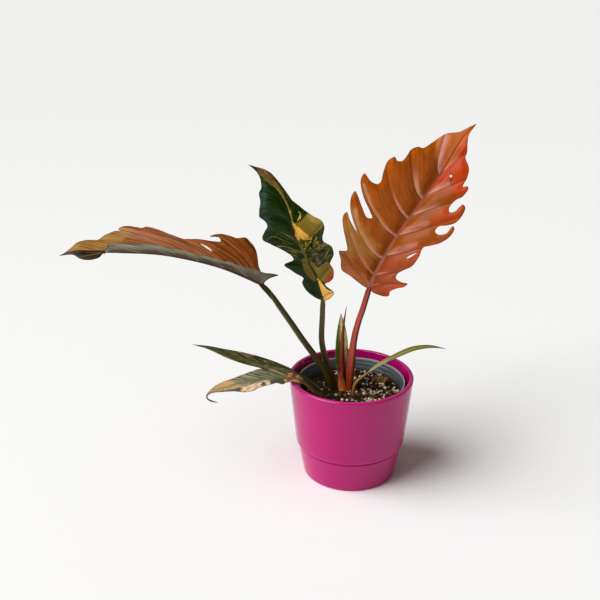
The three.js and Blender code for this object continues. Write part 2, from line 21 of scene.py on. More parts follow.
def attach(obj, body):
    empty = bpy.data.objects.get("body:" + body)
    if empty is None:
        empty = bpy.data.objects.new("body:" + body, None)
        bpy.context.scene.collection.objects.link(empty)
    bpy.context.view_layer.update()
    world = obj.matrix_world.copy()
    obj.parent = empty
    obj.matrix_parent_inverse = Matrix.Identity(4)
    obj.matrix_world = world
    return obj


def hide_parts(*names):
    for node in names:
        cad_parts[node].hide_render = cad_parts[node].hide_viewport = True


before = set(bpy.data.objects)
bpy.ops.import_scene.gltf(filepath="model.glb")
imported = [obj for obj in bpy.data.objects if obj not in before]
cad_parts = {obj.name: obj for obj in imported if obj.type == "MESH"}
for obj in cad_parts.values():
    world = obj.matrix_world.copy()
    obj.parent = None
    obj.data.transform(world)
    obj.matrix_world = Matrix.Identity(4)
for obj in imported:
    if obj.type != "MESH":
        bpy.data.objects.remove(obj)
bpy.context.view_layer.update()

MM = 0.001
log = logging.getLogger("philodendron")

Point2 = tuple[float, float]
Point3 = tuple[float, float, float]
Outline = tuple[Point2, ...]
Piece = bpy.types.Object
Material = bpy.types.Material
Tree = bpy.types.NodeTree
Node = bpy.types.Node
Socket = bpy.types.NodeSocket

# Socket numbers of the Mix node when it mixes colours
MIX_A, MIX_B, MIX_RESULT = 6, 7, 2


# Helpers for numbers, meshes and nodes


def linear(colour: str) -> tuple[float, float, float, float]:
    """Turns an sRGB hex colour into linear light.

    Args:
        colour: The colour as "#RRGGBB".

    Returns:
        Red, green, blue and an alpha of 1, for a shader socket.
    """
    channels = [int(colour[i:i + 2], 16) / 255 for i in (1, 3, 5)]
    light = [c / 12.92 if c <= 0.04045 else ((c + 0.055) / 1.055) ** 2.4 for c in channels]
    return (*light, 1.0)


def ease(value: np.ndarray | float, low: float, high: float) -> np.ndarray:
    """Rises smoothly from 0 where value is low to 1 where it is high; low may be the larger."""
    share = np.clip((np.asarray(value, float) - low) / (high - low), 0, 1)
    return share * share * (3 - 2 * share)


def unit(vectors: np.ndarray) -> np.ndarray:
    """Scales each vector to a length of 1."""
    return vectors / np.linalg.norm(vectors, axis=-1, keepdims=True)


def wander(points: np.ndarray, size: float, seed: float) -> np.ndarray:
    """Smooth noise from about -1 to 1 at each point.

    Args:
        points: Points of two or three numbers, in millimetres.
        size: Millimetres between one swell and the next.
        seed: Picks one of many noises.

    Returns:
        One value for each point.
    """
    flat = np.zeros((len(points), 3))
    flat[:, :points.shape[1]] = points / size
    return np.array([noise.noise(Vector(p) + Vector((seed, -seed, seed))) for p in flat])


def only(piece: Piece) -> None:
    """Makes a piece the only selected and the active one."""
    bpy.ops.object.select_all(action="DESELECT")
    piece.select_set(True)
    bpy.context.view_layer.objects.active = piece


def mesh_piece(name: str, points: np.ndarray, faces: Sequence[Sequence[int]]) -> Piece:
    """Makes a smooth-shaded piece from points in millimetres and faces that point outwards.

    Args:
        name: The piece's name.
        points: An array of points.
        faces: Corner numbers of each face.

    Returns:
        The new object, at the origin.
    """
    mesh = bpy.data.meshes.new(name)
    mesh.from_pydata((points * MM).tolist(), [], faces)
    mesh.update()
    piece = bpy.data.objects.new(name, mesh)
    bpy.context.scene.collection.objects.link(piece)
    only(piece)
    bpy.ops.object.shade_smooth()
    return piece


def paint(piece: Piece, name: str, values: np.ndarray) -> None:
    """Stores one or three numbers at each point of a piece, for its material to read."""
    flat = values.ndim == 1
    kind = "FLOAT" if flat else "FLOAT_VECTOR"
    attribute = piece.data.attributes.new(name, kind, "POINT")
    attribute.data.foreach_set("value" if flat else "vector", values.astype(np.float32).ravel())


def seat(piece: Piece, slot: str, *nodes: str) -> None:
    """Puts a finished piece on the plant's one body.

    Args:
        piece: The finished piece.
        slot: The record's material slot for the piece; not used.
        nodes: The CAD nodes that it stands for.
    """
    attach(piece, "root")
    if nodes:
        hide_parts(*nodes)
    log.info("%s: %d faces", piece.name, len(piece.data.polygons))


def feed(tree: Tree, node: Node, inputs: dict[str | int, Any]) -> None:
    """Gives a node's inputs their values and links.

    Args:
        tree: The tree that the node is in.
        node: The node.
        inputs: For each input, by name or number, a value, another node's output, or another
            node, which stands for its first output.
    """
    for socket, value in inputs.items():
        if isinstance(value, Node):
            value = value.outputs[0]
        if isinstance(value, Socket):
            tree.links.new(value, node.inputs[socket])
        else:
            node.inputs[socket].default_value = value


def add(tree: Tree, kind: str, inputs: dict[str | int, Any] | None = None,
        **settings: Any) -> Node:
    """Adds a node with its settings, values and links.

    Args:
        tree: The material's node tree.
        kind: The node's type, without the ShaderNode that each begins with.
        inputs: Its inputs, as feed takes them.
        settings: The node's own properties.

    Returns:
        The new node.
    """
    node = tree.nodes.new("ShaderNode" + kind)
    for name, value in settings.items():
        setattr(node, name, value)
    feed(tree, node, inputs or {})
    return node


def lay(tree: Tree, under: Any, coats: Sequence[tuple[Any, Any]]) -> Socket:
    """Lays coats of colour over one another.

    Args:
        tree: The material's node tree.
        under: The undermost colour, as "#RRGGBB" or another node's output.
        coats: For each coat, the node that says how much of it shows, and its colour.

    Returns:
        The output that carries the result.
    """
    for share, over in coats:
        under, over = (linear(c) if isinstance(c, str) else c for c in (under, over))
        under = add(tree, "Mix", {0: share, MIX_A: under, MIX_B: over},
                    data_type="RGBA").outputs[MIX_RESULT]
    return under


def start_material(name: str, **sockets: Any) -> tuple[Material, Tree, Node]:
    """Starts a material whose uniform values are set straight on the shader.

    Args:
        name: What the material is and how it was made.
        sockets: Values for the shader's inputs, with _ for a space in their names.

    Returns:
        The material, its node tree and its shader.
    """
    material = bpy.data.materials.new(name)
    material.use_nodes = True
    tree = material.node_tree
    shader = tree.nodes["Principled BSDF"]
    feed(tree, shader, {socket.replace("_", " "): value for socket, value in sockets.items()})
    return material, tree, shader


# Lines


class Path:
    """A smooth line through points in space, measured along its length.

    Args:
        knots: The points that it runs through.
    """

    STEPS = 40

    def __init__(self, knots: Sequence[Point3]) -> None:
        """Samples the line finely between its knots."""
        p = np.array(knots, float)
        p = np.vstack([2 * p[0] - p[1], p, 2 * p[-1] - p[-2]])
        t = np.linspace(0, 1, self.STEPS, endpoint=False)[:, None]
        spans = [
            b + 0.5 * ((c - a) * t + (2 * a - 5 * b + 4 * c - d) * t**2
                       + (3 * b - a - 3 * c + d) * t**3)
            for a, b, c, d in zip(p, p[1:], p[2:], p[3:])
        ]
        self.points = np.vstack([*spans, p[-2]])
        steps = np.linalg.norm(np.diff(self.points, axis=0), axis=1)
        self.places = np.concatenate([[0], np.cumsum(steps)])
        self.tangents = unit(np.gradient(self.points, self.places, axis=0))
        self.length = float(self.places[-1])

    def at(self, distance: np.ndarray) -> tuple[np.ndarray, np.ndarray]:
        """Points and directions at distances along the line, which runs on straight past its ends."""
        reached = np.clip(distance, 0, self.length)
        point, tangent = (
            np.stack([np.interp(reached, self.places, table[:, k]) for k in range(3)], axis=1)
            for table in (self.points, self.tangents)
        )
        tangent = unit(tangent)
        return point + tangent * (distance - reached)[:, None], tangent


def rounded(points: Sequence[Point2] | np.ndarray, spacing: float) -> np.ndarray:
    """Samples a smooth flat line through points, which stays tight where it turns sharply.

    Args:
        points: The points, in order, in millimetres.
        spacing: Millimetres between samples.

    Returns:
        The samples, the first and the last point among them.
    """
    p = np.array(points, float)
    p = np.vstack([2 * p[0] - p[1], p, 2 * p[-1] - p[-2]])
    line = []
    for a, b, c, d in zip(p, p[1:], p[2:], p[3:]):
        ab, bc, cd = (max(float(np.linalg.norm(v)), 0.01) ** 0.5 for v in (b - a, c - b, d - c))
        leave = bc * ((b - a) / ab - (c - a) / (ab + bc)) + (c - b)
        arrive = bc * ((d - c) / cd - (d - b) / (bc + cd)) + (c - b)
        count = max(1, round(float(np.linalg.norm(c - b)) / spacing))
        t = (np.arange(count) / count)[:, None]
        line.append(b * (2 * t**3 - 3 * t**2 + 1) + leave * (t**3 - 2 * t**2 + t)
                    + c * (3 * t**2 - 2 * t**3) + arrive * (t**3 - t**2))
    return np.vstack([*line, p[-2]])


def loop_through(points: Outline, spacing: float) -> np.ndarray:
    """Samples a smooth closed line through points."""
    around = [points[-1], *points, points[0], points[1]]
    line = rounded(around, spacing)
    first = int(np.argmin(np.linalg.norm(line - np.array(points[0]), axis=1)))
    step = int(np.argmin(np.linalg.norm(line[first + 1:] - np.array(points[0]), axis=1)))
    return line[first:first + 1 + step]


def inside(points: np.ndarray, loop: np.ndarray) -> np.ndarray:
    """Says which flat points lie inside a closed loop."""
    x, y = points.T
    result = np.zeros(len(points), bool)
    for (x0, y0), (x1, y1) in zip(loop, np.roll(loop, -1, axis=0)):
        if y0 != y1:
            result ^= ((y0 > y) != (y1 > y)) & (x < (x1 - x0) * (y - y0) / (y1 - y0) + x0)
    return result


def distance_to(points: np.ndarray, line: np.ndarray) -> np.ndarray:
    """Distance from each flat point to the nearest sample of a line."""
    tree = kdtree.KDTree(len(line))
    for i, (x, y) in enumerate(line):
        tree.insert((x, y, 0), i)
    tree.balance()
    return np.array([tree.find((x, y, 0))[2] for x, y in points])


# Finishes of leaves and stalks


@dataclass(frozen=True)
class Patch:
    """A marking on a leaf: where it lies and how its edge wanders. Most are pigment; a few are
    painted highlights, and one is a painted reflection.

    The edge follows the outlines, moved to and fro by noise. Noise that moves it further than the
    patch is wide breaks the patch up into speckles.
    """

    colour: str
    outlines: tuple[Outline, ...]
    soft: float = 0.8  # over which the edge fades
    ragged: float = 1.5  # how far the edge wanders
    grain: float = 6.0  # between one wander and the next, across the veins
    drawn_out: float = 2.0  # how many times longer it is along the veins
    cover: float = 1.0
    deepest: float = 99.0  # a small value lets the noise break up the middle as well

    def depth(self, points: np.ndarray) -> np.ndarray:
        """How deep inside the outlines each flat point lies, and below 0 outside them."""
        depths = []
        for outline in self.outlines:
            loop = loop_through(outline, 1.0)
            depths.append(np.where(inside(points, loop), 1, -1) * distance_to(points, loop))
        return np.minimum(np.max(depths, axis=0), self.deepest)


@dataclass(frozen=True)
class LeafFinish:
    """The living skin of a leaf: a waxy cuticle over pigment that follows the veins.

    It gives the eye a satin gloss, long soft streaks along the veins, a paler band beside each
    vein that is partly the vein's own tone and partly painted highlight, painted shade along each
    vein's groove, and a thin margin of another tone.
    """

    name: str
    base: str
    streak: str
    # Colour of the band beside each vein: partly the vein's paler tone, partly painted highlight
    vein: str
    # Painted shade: the dark colour along each vein's groove
    furrow_shade: str
    rib: str
    margin: str
    rib_tip: str = ""  # the midrib's colour at the tip, if it changes
    rib_cover: float = 1.0
    streak_gap: float = 2.2
    streak_cover: float = 0.5
    streak_edge: float = 0.14  # how softly one streak passes into the next
    vein_cover: float = 0.6
    vein_width: float = 0.16  # as a share of the way to the next vein
    vein_reach: float = 0.75  # as a share of the way to the margin
    furrow_cover: float = 0.5
    margin_width: float = 0.7
    roughness: float = 0.36
    refraction: float = 1.4  # of the wax; a thin bloom on it makes it lower
    patches: tuple[Patch, ...] = ()
    face: str = "upper"

    STREAK_MIDDLE = 0.51  # the noise's value at a streak's edge
    STREAK_LENGTH = 14.0  # as times its gap
    RIB_EDGE = (1.15, 0.8)  # where the midrib's colour begins and is full, in its half widths
    RIB_CHANGE = 160.0  # from the foot to where the midrib has its tip's colour
    MARGIN_FULL = 0.1  # where the margin's tone is full
    MARGIN_COVER = 0.85
    STRIP_START = (0.015, 0.045)  # where the pale strip begins, in shares of the way between veins
    STRIP_FULL = 0.35  # how far it stays full, as a share of its width and its reach
    FURROW = (0.462, 0.492)  # where the furrow begins and is full, from midway between two veins
    CLOUD = 12.0  # between one cloudy change of tone and the next, as the pigment has
    CLOUD_TONE = (0.86, 1.14)  # the darkest and the lightest
    DULLER = (-0.05, 0.07)  # how the roughness changes with the clouds
    CELLS = 0.9  # real epidermal cells are about 0.05 mm, too fine to show, so they are coarser
    STREAK_HEIGHT = 1.6  # of the streaks' relief, as times the cells'
    RELIEF = 0.12  # height of the finest relief

    def make(self) -> Material:
        """Builds the material.

        Returns:
            The material, which reads the numbers that the blade stores at its points.
        """
        material, tree, shader = start_material(self.name, IOR=self.refraction)
        flat, weave, form = (
            add(tree, "Attribute", attribute_name=name).outputs["Vector"]
            for name in ("leaf_map", "leaf_weave", "leaf_form")
        )
        edge, rib, out = add(tree, "SeparateXYZ", {0: form}).outputs
        along, _, count = add(tree, "SeparateXYZ", {0: flat}).outputs
        streaks = self.swells(tree, weave, self.streak_gap, self.STREAK_LENGTH, 3.0)
        streaked = add(tree, "MapRange", {
            "Value": streaks, "From Min": self.STREAK_MIDDLE - self.streak_edge,
            "From Max": self.STREAK_MIDDLE + self.streak_edge, "To Max": self.streak_cover,
        })
        on_rib = add(tree, "MapRange", {
            "Value": rib, "From Min": self.RIB_EDGE[0], "From Max": self.RIB_EDGE[1],
            "To Max": self.rib_cover,
        }, interpolation_type="SMOOTHSTEP")
        rib_colour: Any = self.rib
        if self.rib_tip:
            reached = add(tree, "MapRange", {"Value": along, "From Max": self.RIB_CHANGE})
            rib_colour = lay(tree, self.rib, [(reached, self.rib_tip)])
        on_edge = add(tree, "MapRange", {
            "Value": edge, "From Min": self.margin_width, "From Max": self.MARGIN_FULL,
            "To Max": self.MARGIN_COVER,
        })
        marks = [(self.mark(tree, weave, number, patch), patch.colour)
                 for number, patch in enumerate(self.patches)]
        pale_vein_and_highlight, furrow_shade = self.veins(tree, count, out)
        colour = lay(tree, self.base, [
            (streaked, self.streak), *marks, (pale_vein_and_highlight, self.vein), (furrow_shade, self.furrow_shade),
            (on_rib, rib_colour), (on_edge, self.margin),
        ])

        clouds = self.swells(tree, flat, self.CLOUD, 1.0, 4.0)
        tone = add(tree, "MapRange", {
            "Value": clouds, "From Min": 0.25, "From Max": 0.75,
            "To Min": self.CLOUD_TONE[0], "To Max": self.CLOUD_TONE[1],
        })
        gloss = add(tree, "MapRange", {
            "Value": clouds, "From Min": 0.3, "From Max": 0.7,
            "To Min": self.roughness + self.DULLER[0], "To Max": self.roughness + self.DULLER[1],
        })
        # The finest relief is small veins along the streaks, and cells
        cells = self.swells(tree, flat, self.CELLS, 1.0, 2.0)
        height = add(tree, "Math", {0: streaks, 1: self.STREAK_HEIGHT, 2: cells},
                     operation="MULTIPLY_ADD")
        feed(tree, shader, {
            "Base Color": add(tree, "HueSaturation", {"Value": tone, "Color": colour}),
            "Roughness": gloss,
            "Normal": add(tree, "Bump", {
                "Strength": 0.55, "Distance": self.RELIEF * MM, "Height": height,
            }),
        })
        return material

    @staticmethod
    def swells(tree: Tree, where: Socket, gap: float, drawn_out: float, detail: float) -> Node:
        """Adds swells of chance that run along a leaf's veins.

        Args:
            tree: The material's node tree.
            where: The output that holds the leaf's own millimetres.
            gap: Millimetres between one swell and the next, across the veins.
            drawn_out: How many times longer a swell is along the veins.
            detail: The noise's detail.

        Returns:
            The noise node.
        """
        scaled = add(tree, "Mapping", {
            "Vector": where, "Scale": (1 / gap, 1 / (gap * drawn_out), 1.0),
        })
        return add(tree, "TexNoise", {
            "Vector": scaled, "Scale": 1.0, "Detail": detail, "Roughness": 0.6,
        })

    def mark(self, tree: Tree, weave: Socket, number: int, patch: Patch) -> Node:
        """Says how much of one patch shows, whether pigment, painted highlight or painted reflection.
        """
        depth = add(tree, "Attribute", attribute_name=f"{self.face}_patch_{number}")
        moved = add(tree, "MapRange", {
            "Value": self.swells(tree, weave, patch.grain, patch.drawn_out, 2.0),
            "From Min": 0.3, "From Max": 0.7, "To Min": -patch.ragged, "To Max": patch.ragged,
        }, clamp=False)
        reach = add(tree, "Math", {0: depth.outputs["Fac"], 1: moved}, operation="ADD")
        return add(tree, "MapRange", {
            "Value": reach, "From Min": -patch.soft, "From Max": patch.soft, "To Max": patch.cover,
        }, interpolation_type="SMOOTHSTEP")

    def veins(self, tree: Tree, count: Socket, out: Socket) -> tuple[Node, Node]:
        """Says how much shows of the band beside each vein, partly its paler tone and partly painted
        highlight, and of the painted shade along the vein's groove.
        """
        step = add(tree, "Math", {0: count}, operation="FRACT")
        rise, fall, fade = (
            add(tree, "MapRange", {
                "Value": value, "From Min": low, "From Max": high, "To Max": most,
            }, interpolation_type="SMOOTHSTEP")
            for value, low, high, most in (
                (step, *self.STRIP_START, 1.0),
                (step, self.vein_width, self.vein_width * self.STRIP_FULL, 1.0),
                (out, self.vein_reach, self.vein_reach * self.STRIP_FULL, self.vein_cover),
            )
        )
        # Painted highlight beside each vein, on its flank towards the tip, partly the vein's paler tone
        pale_vein_and_highlight = add(tree, "Math", {0: rise, 1: fall}, operation="MULTIPLY")
        pale_vein_and_highlight = add(tree, "Math", {0: pale_vein_and_highlight, 1: fade}, operation="MULTIPLY")
        # Painted shade along each vein's groove, on both sides of the vein
        middle = add(tree, "Math", {0: step, 1: 0.5}, operation="SUBTRACT")
        off = add(tree, "Math", {0: middle}, operation="ABSOLUTE")
        furrow_shade = add(tree, "MapRange", {
            "Value": off, "From Min": self.FURROW[0], "From Max": self.FURROW[1],
            "To Max": self.furrow_cover,
        }, interpolation_type="SMOOTHSTEP")
        return pale_vein_and_highlight, furrow_shade


@dataclass(frozen=True)
class StalkFinish:
    """The skin of a leaf stalk: smooth, fibrous under the surface, and coloured by its sides, where
    one stalk's left side carries a painted highlight.

    It gives the eye a satin gloss with fine lines along the stalk.
    """

    name: str
    face: str  # the grooved side
    back: str
    left: str
    right: str
    foot: str
    foot_length: float = 20.0
    roughness: float = 0.36

    FIBRE = 0.8  # between the fine lines; the real fibres, 0.2 mm apart, are too fine to show
    FIBRE_LENGTH = 30.0
    RADIUS = 3.5  # of a usual stalk
    FACE_EDGE = (-0.1, 0.75)  # cosines from the face, between which its colour comes in
    SIDE_EDGE = (0.45, 0.85)  # the same for a side's colour, as sines
    FOOT_FULL = 0.3  # how far the foot's colour stays full, as a share of its length
    TONE = (0.7, 1.25)  # the darkest and the lightest line

    def make(self) -> Material:
        """Builds the material.

        Returns:
            The material, which reads the numbers that the stalk stores at its points.
        """
        material, tree, shader = start_material(self.name, IOR=1.3, Roughness=self.roughness)
        # The stored vector is [millimetres along, cosine, sine of the angle from the face]
        where = add(tree, "Attribute", attribute_name="stalk_map").outputs["Vector"]
        along, facing, aside = add(tree, "SeparateXYZ", {0: where}).outputs
        begin, full = self.SIDE_EDGE
        colour = lay(tree, self.back, [
            (add(tree, "MapRange", {
                "Value": value, "From Min": low, "From Max": high,
            }, interpolation_type="SMOOTHSTEP"), over)
            for value, low, high, over in (
                (facing, *self.FACE_EDGE, self.face),
                (aside, -begin, -full, self.left),
                (aside, begin, full, self.right),
                (along, self.foot_length, self.foot_length * self.FOOT_FULL, self.foot),
            )
        ])
        round_it = self.RADIUS / self.FIBRE
        fibre = add(tree, "Mapping", {
            "Vector": where, "Scale": (1 / self.FIBRE_LENGTH, round_it, round_it),
        })
        lines = add(tree, "TexNoise", {"Vector": fibre, "Scale": 1.0, "Detail": 3.0})
        tone = add(tree, "MapRange", {
            "Value": lines, "From Min": 0.3, "From Max": 0.7,
            "To Min": self.TONE[0], "To Max": self.TONE[1],
        })
        feed(tree, shader, {
            "Base Color": add(tree, "HueSaturation", {"Value": tone, "Color": colour}),
            "Normal": add(tree, "Bump", {
                "Strength": 0.4, "Distance": 0.15 * MM, "Height": lines,
            }),
        })
        return material


# Leaves


@dataclass(frozen=True)
class Fold:
    """How each half of a blade turns up from the midrib at one share of its length.

    Each pair is degrees at the midrib, and degrees more with each millimetre outwards.
    """

    at: float
    left: tuple[float, float]
    right: tuple[float, float]


@dataclass(frozen=True)
class Vein:
    """A side vein: where it leaves the midrib, and two flat points that it runs through.

    The points are [along, away from the midrib]. Past the second one it runs on straight.
    """

    foot: float
    via: Point2
    end: Point2

    def run(self, width: np.ndarray) -> np.ndarray:
        """Where along the midrib the vein is at each distance from it."""
        (near, near_width), (far, far_width) = self.via, self.end
        first = (near - self.foot) / near_width
        second = (far - near) / (far_width - near_width)
        inner = np.minimum(width, far_width)
        curve = (second - first) / far_width * inner * (inner - near_width)
        return self.foot + first * inner + curve + second * (width - inner)


def even_veins(length: float, count: int, lean: float, reach: float) -> tuple[Vein, ...]:
    """Side veins at even spacing for a plain leaf.

    Args:
        length: The blade's length.
        count: How many veins there are.
        lean: How far forward a vein runs by the time it is at reach.
        reach: The distance from the midrib at its end.

    Returns:
        The veins, from the foot to the tip.
    """
    gap = length / (count + 1)
    return tuple(
        Vein(gap * i, (gap * i + lean * 0.6, reach / 2), (gap * i + lean, reach))
        for i in range(count)
    )


@dataclass
class Blade:
    """A leaf blade, drawn flat as two outlines and bent along its midrib."""

    node: str
    slot: str
    midrib: tuple[Point3, ...]
    face_base: Point3
    face_tip: Point3
    folds: tuple[Fold, ...]
    left: Outline
    right: Outline
    left_veins: tuple[Vein, ...]
    right_veins: tuple[Vein, ...]
    upper: LeafFinish
    under: LeafFinish
    cuts: tuple[Outline, ...] = ()
    grid: float = 1.0
    thickness: float = 0.5
    bulge: float = 1.5  # how far the skin stands up between two side veins
    wave: float = 0.8  # how far the margin waves
    wave_length: float = 26.0
    rib_width: Point2 = (3.0, 0.7)  # half the midrib's width at the foot and the tip
    rib_height: float = 0.7
    rib_depth: float = 1.6
    crumple: tuple[float, float, float] = (0.0, 0.0, 0.0)  # height, and from where to where
    seed: float = 1.0

    RIB_ROWS = (0.0, 0.6, 1.2, 1.9)  # rows of points beside the midrib
    PEAK = 0.36  # where between two side veins the skin stands highest
    FLANK = 0.8  # makes the furrows along the side veins sharp
    LEAST_GAP = 4  # between two side veins, where they would cross
    LAST_STEP = 1.9  # how far the running number of veins goes on past the last gap
    # Each pair says from where to where a form grows, out from the midrib or in from the margin
    WHOLE_RIB = (0, 3.5)  # where the lift turns only slowly, so that the midrib keeps its form
    BULGE_OUT = (1.5, 10)
    BULGE_IN = (0, 7)
    BULGE_LEFT = 0.35  # the share of the bulge that is left at the margin
    TIP = (1.0, 0.86)  # shares of the length between which the bulge fades
    WAVE_OUT = (3, 14)
    WAVE_IN = (14, 0)
    CRUMPLE_START = (-4, 3)
    CRUMPLE_END = (6, -4)
    CRUMPLE_SIZE = 5.5
    CRUMPLE_OUT = (0, 2)
    RIB_THINS = 0.6  # makes the midrib thin soon after its foot
    RIB_FLANK = 0.7  # makes its flanks full
    RIB_SINKS = 0.75  # how much lower it is at the tip
    RIB_IN = (0, 2)
    EDGE_LEFT = 0.45  # the margin's thickness, as a share of the blade's
    EDGE_IN = (0, 1.5)

    def __post_init__(self) -> None:
        """Lays the midrib."""
        self.line = Path(self.midrib)
        self.length = self.line.length

    def frame_at(self, along: np.ndarray) -> tuple[np.ndarray, ...]:
        """The midrib's points and the blade's axes.

        Args:
            along: Distances along the midrib, which may lie past either end.

        Returns:
            Points, forward, up and sideways directions, and shares of the length.
        """
        point, forward = self.line.at(along)
        share = np.clip(along / self.length, 0, 1)
        face = np.outer(1 - share, self.face_base) + np.outer(share, self.face_tip)
        up = unit(face - forward * (face * forward).sum(1, keepdims=True))
        return point, forward, up, np.cross(forward, up), share

    def bend(self, along: np.ndarray, across: np.ndarray, lift: np.ndarray) -> np.ndarray:
        """Bends flat points to their place in space.

        Args:
            along: Millimetres along the midrib.
            across: Millimetres from it, below 0 on the left.
            lift: Millimetres above the blade's middle surface.

        Returns:
            Points in space.
        """
        point, _, up, side, share = self.frame_at(along)
        places = [fold.at for fold in self.folds]
        fold, curl = (
            np.where(across < 0, np.interp(share, places, [f.left[k] for f in self.folds]),
                     np.interp(share, places, [f.right[k] for f in self.folds]))
            for k in (0, 1)
        )
        width, sign = np.abs(across), np.sign(across)
        start, turn = np.radians(fold), np.radians(curl) * width
        chord = start + turn / 2
        reach = width * np.sinc(turn / 2 / np.pi)
        tilt = (start + turn) * ease(width, *self.WHOLE_RIB)
        sideways = sign * (reach * np.cos(chord) - lift * np.sin(tilt))
        upwards = reach * np.sin(chord) + lift * np.cos(tilt)
        return point + side * sideways[:, None] + up * upwards[:, None]

    def outline(self) -> np.ndarray:
        """The whole blade's flat margin as a closed loop."""
        right, left = (
            rounded([(0, 0), *[(x, sign * y) for x, y in half], (self.length, 0)], self.grid)
            for half, sign in ((self.right, 1), (self.left, -1))
        )
        return np.vstack([right, left[-2:0:-1]])

    def triangles(self) -> tuple[np.ndarray, np.ndarray, np.ndarray, np.ndarray]:
        """Fills the outline with near-even triangles.

        Returns:
            Flat points, triangles as rows of three numbers, and each point's way to the nearest
            edge and to the outer margin.
        """
        margin = self.outline()
        holes = [loop_through(cut, self.grid * 0.6) for cut in self.cuts]
        rim = np.vstack([margin, *holes])
        low, high = margin.min(0), margin.max(0)
        rows = np.arange(low[1], high[1], self.grid * math.sqrt(3) / 2)
        grid = np.array([
            (x + (i % 2) * self.grid / 2, y)
            for i, y in enumerate(rows) for x in np.arange(low[0], high[0], self.grid)
        ])
        grid = grid[np.abs(grid[:, 1]) > self.RIB_ROWS[-1] + self.grid * 0.5]
        rib = np.array([
            (x, sign * y) for y in self.RIB_ROWS for sign in ((1, -1) if y else (1,))
            for x in np.arange(self.grid, self.length, self.grid)
        ])
        points = np.vstack([grid, rib])
        points = points[inside(points, margin) & (distance_to(points, rim) > self.grid * 0.5)]
        for hole in holes:
            points = points[~inside(points, hole)]
        edges, start = [], 0
        for loop in (margin, *holes):
            count = len(loop)
            edges += [(start + i, start + (i + 1) % count) for i in range(count)]
            start += count
        corners = [Vector(p) for p in np.vstack([rim, points])]
        made, _, faces, *_ = delaunay_2d_cdt(corners, edges, [], 0, 1e-5, False)
        flat = np.array([tuple(p) for p in made])
        triangles = np.array([f for f in faces if len(f) == 3])
        middles = flat[triangles].mean(1)
        keep = inside(middles, margin)
        for hole in holes:
            keep &= ~inside(middles, hole)
        return flat, triangles[keep], distance_to(flat, rim), distance_to(flat, margin)

    def vein_count(self, flat: np.ndarray) -> np.ndarray:
        """How many side veins lie between the foot and each point, as a running number."""
        along, width = flat[:, 0], np.abs(flat[:, 1])
        total = np.zeros(len(flat))
        for veins, half in ((self.left_veins, flat[:, 1] < 0), (self.right_veins, flat[:, 1] >= 0)):
            lines = [vein.run(width) for vein in veins]
            last = len(lines) - 2
            for i, (here, after) in enumerate(zip(lines, lines[1:])):
                gap = np.maximum(after - here, self.LEAST_GAP)
                step = np.clip((along - here) / gap, -np.inf if i == 0 else 0,
                               self.LAST_STEP if i == last else 1)
                total += np.where(half, step, 0)
        return total

    def build(self) -> Piece:
        """Builds the blade as a closed thin body and dresses it.

        Returns:
            The finished piece.
        """
        flat, triangles, edge, border = self.triangles()
        along, across = flat.T
        width = np.abs(across)
        share = np.clip(along / self.length, 0, 1)
        count = self.vein_count(flat)
        step = count - np.floor(count)
        swell = np.sin(np.pi * np.interp(step, (0, self.PEAK, 1), (0, 0.5, 1))) ** self.FLANK
        inwards = self.BULGE_LEFT + (1 - self.BULGE_LEFT) * ease(border, *self.BULGE_IN)
        middle = self.bulge * swell * ease(width, *self.BULGE_OUT) * inwards
        middle = middle * ease(share, *self.TIP)
        loose = ease(width, *self.WAVE_OUT) * ease(border, *self.WAVE_IN)
        middle = middle + self.wave * loose * wander(flat, self.wave_length, self.seed)
        height, begin, finish = self.crumple
        if height:
            zone = (ease(along, *(begin + way for way in self.CRUMPLE_START))
                    * ease(along, *(finish + way for way in self.CRUMPLE_END)))
            folds = wander(flat, self.CRUMPLE_SIZE, self.seed + 7)
            middle = middle + height * zone * folds * ease(width, *self.CRUMPLE_OUT)
        foot, tip = self.rib_width
        rib = width / (foot + (tip - foot) * share**self.RIB_THINS)
        ridge = (np.clip(1 - rib**2, 0, 1) ** self.RIB_FLANK * (1 - self.RIB_SINKS * share)
                 * ease(border, *self.RIB_IN))
        thin = self.EDGE_LEFT + (1 - self.EDGE_LEFT) * ease(edge, *self.EDGE_IN)
        half = self.thickness / 2 * thin
        upper = self.bend(along, across, middle + half + ridge * self.rib_height)
        lower = self.bend(along, across, middle - half - ridge * self.rib_depth)

        points = np.vstack([upper, lower])
        above = triangles[:, ::-1]
        a, b, c = above.T
        sides = [side for pair in ((a, b), (b, c), (c, a)) for side in zip(*np.array(pair).tolist())]
        twins = set(sides)
        skip = len(flat)
        walls = [(j, i, i + skip, j + skip) for i, j in sides if (j, i) not in twins]
        if self.turns_down(upper, above):
            raise ValueError(f"{self.node}: the upper face points down")
        faces = [*above.tolist(), *(triangles + skip).tolist(), *walls]
        piece = mesh_piece(self.node.replace("_blade", ""), points, faces)

        veins_apart = self.length / max(len(self.left_veins), 1)
        stored = {
            "leaf_map": np.stack([along, across, count], 1),
            "leaf_weave": np.stack([count * veins_apart, across, np.zeros(skip)], 1),
            "leaf_form": np.stack([edge, rib, width / (width + border + 0.01)], 1),
        }
        for finish in dict.fromkeys((self.upper, self.under)):
            for number, patch in enumerate(finish.patches):
                stored[f"{finish.face}_patch_{number}"] = patch.depth(flat)
        for name, values in stored.items():
            paint(piece, name, np.concatenate([values, values]))
        piece.data.materials.append(self.upper.make())
        piece.data.materials.append(self.under.make())
        below = np.arange(len(faces)) >= len(above)
        piece.data.polygons.foreach_set("material_index", below.astype(np.int32))
        seat(piece, self.slot, self.node)
        return piece

    def turns_down(self, upper: np.ndarray, above: np.ndarray) -> bool:
        """Whether the upper triangles face away from the side that the blade's face looks to."""
        a, b, c = (upper[above[:, k]] for k in range(3))
        middle = self.frame_at(np.array([self.length / 2]))[2][0]
        return float(np.cross(b - a, c - a).sum(0) @ middle) < 0


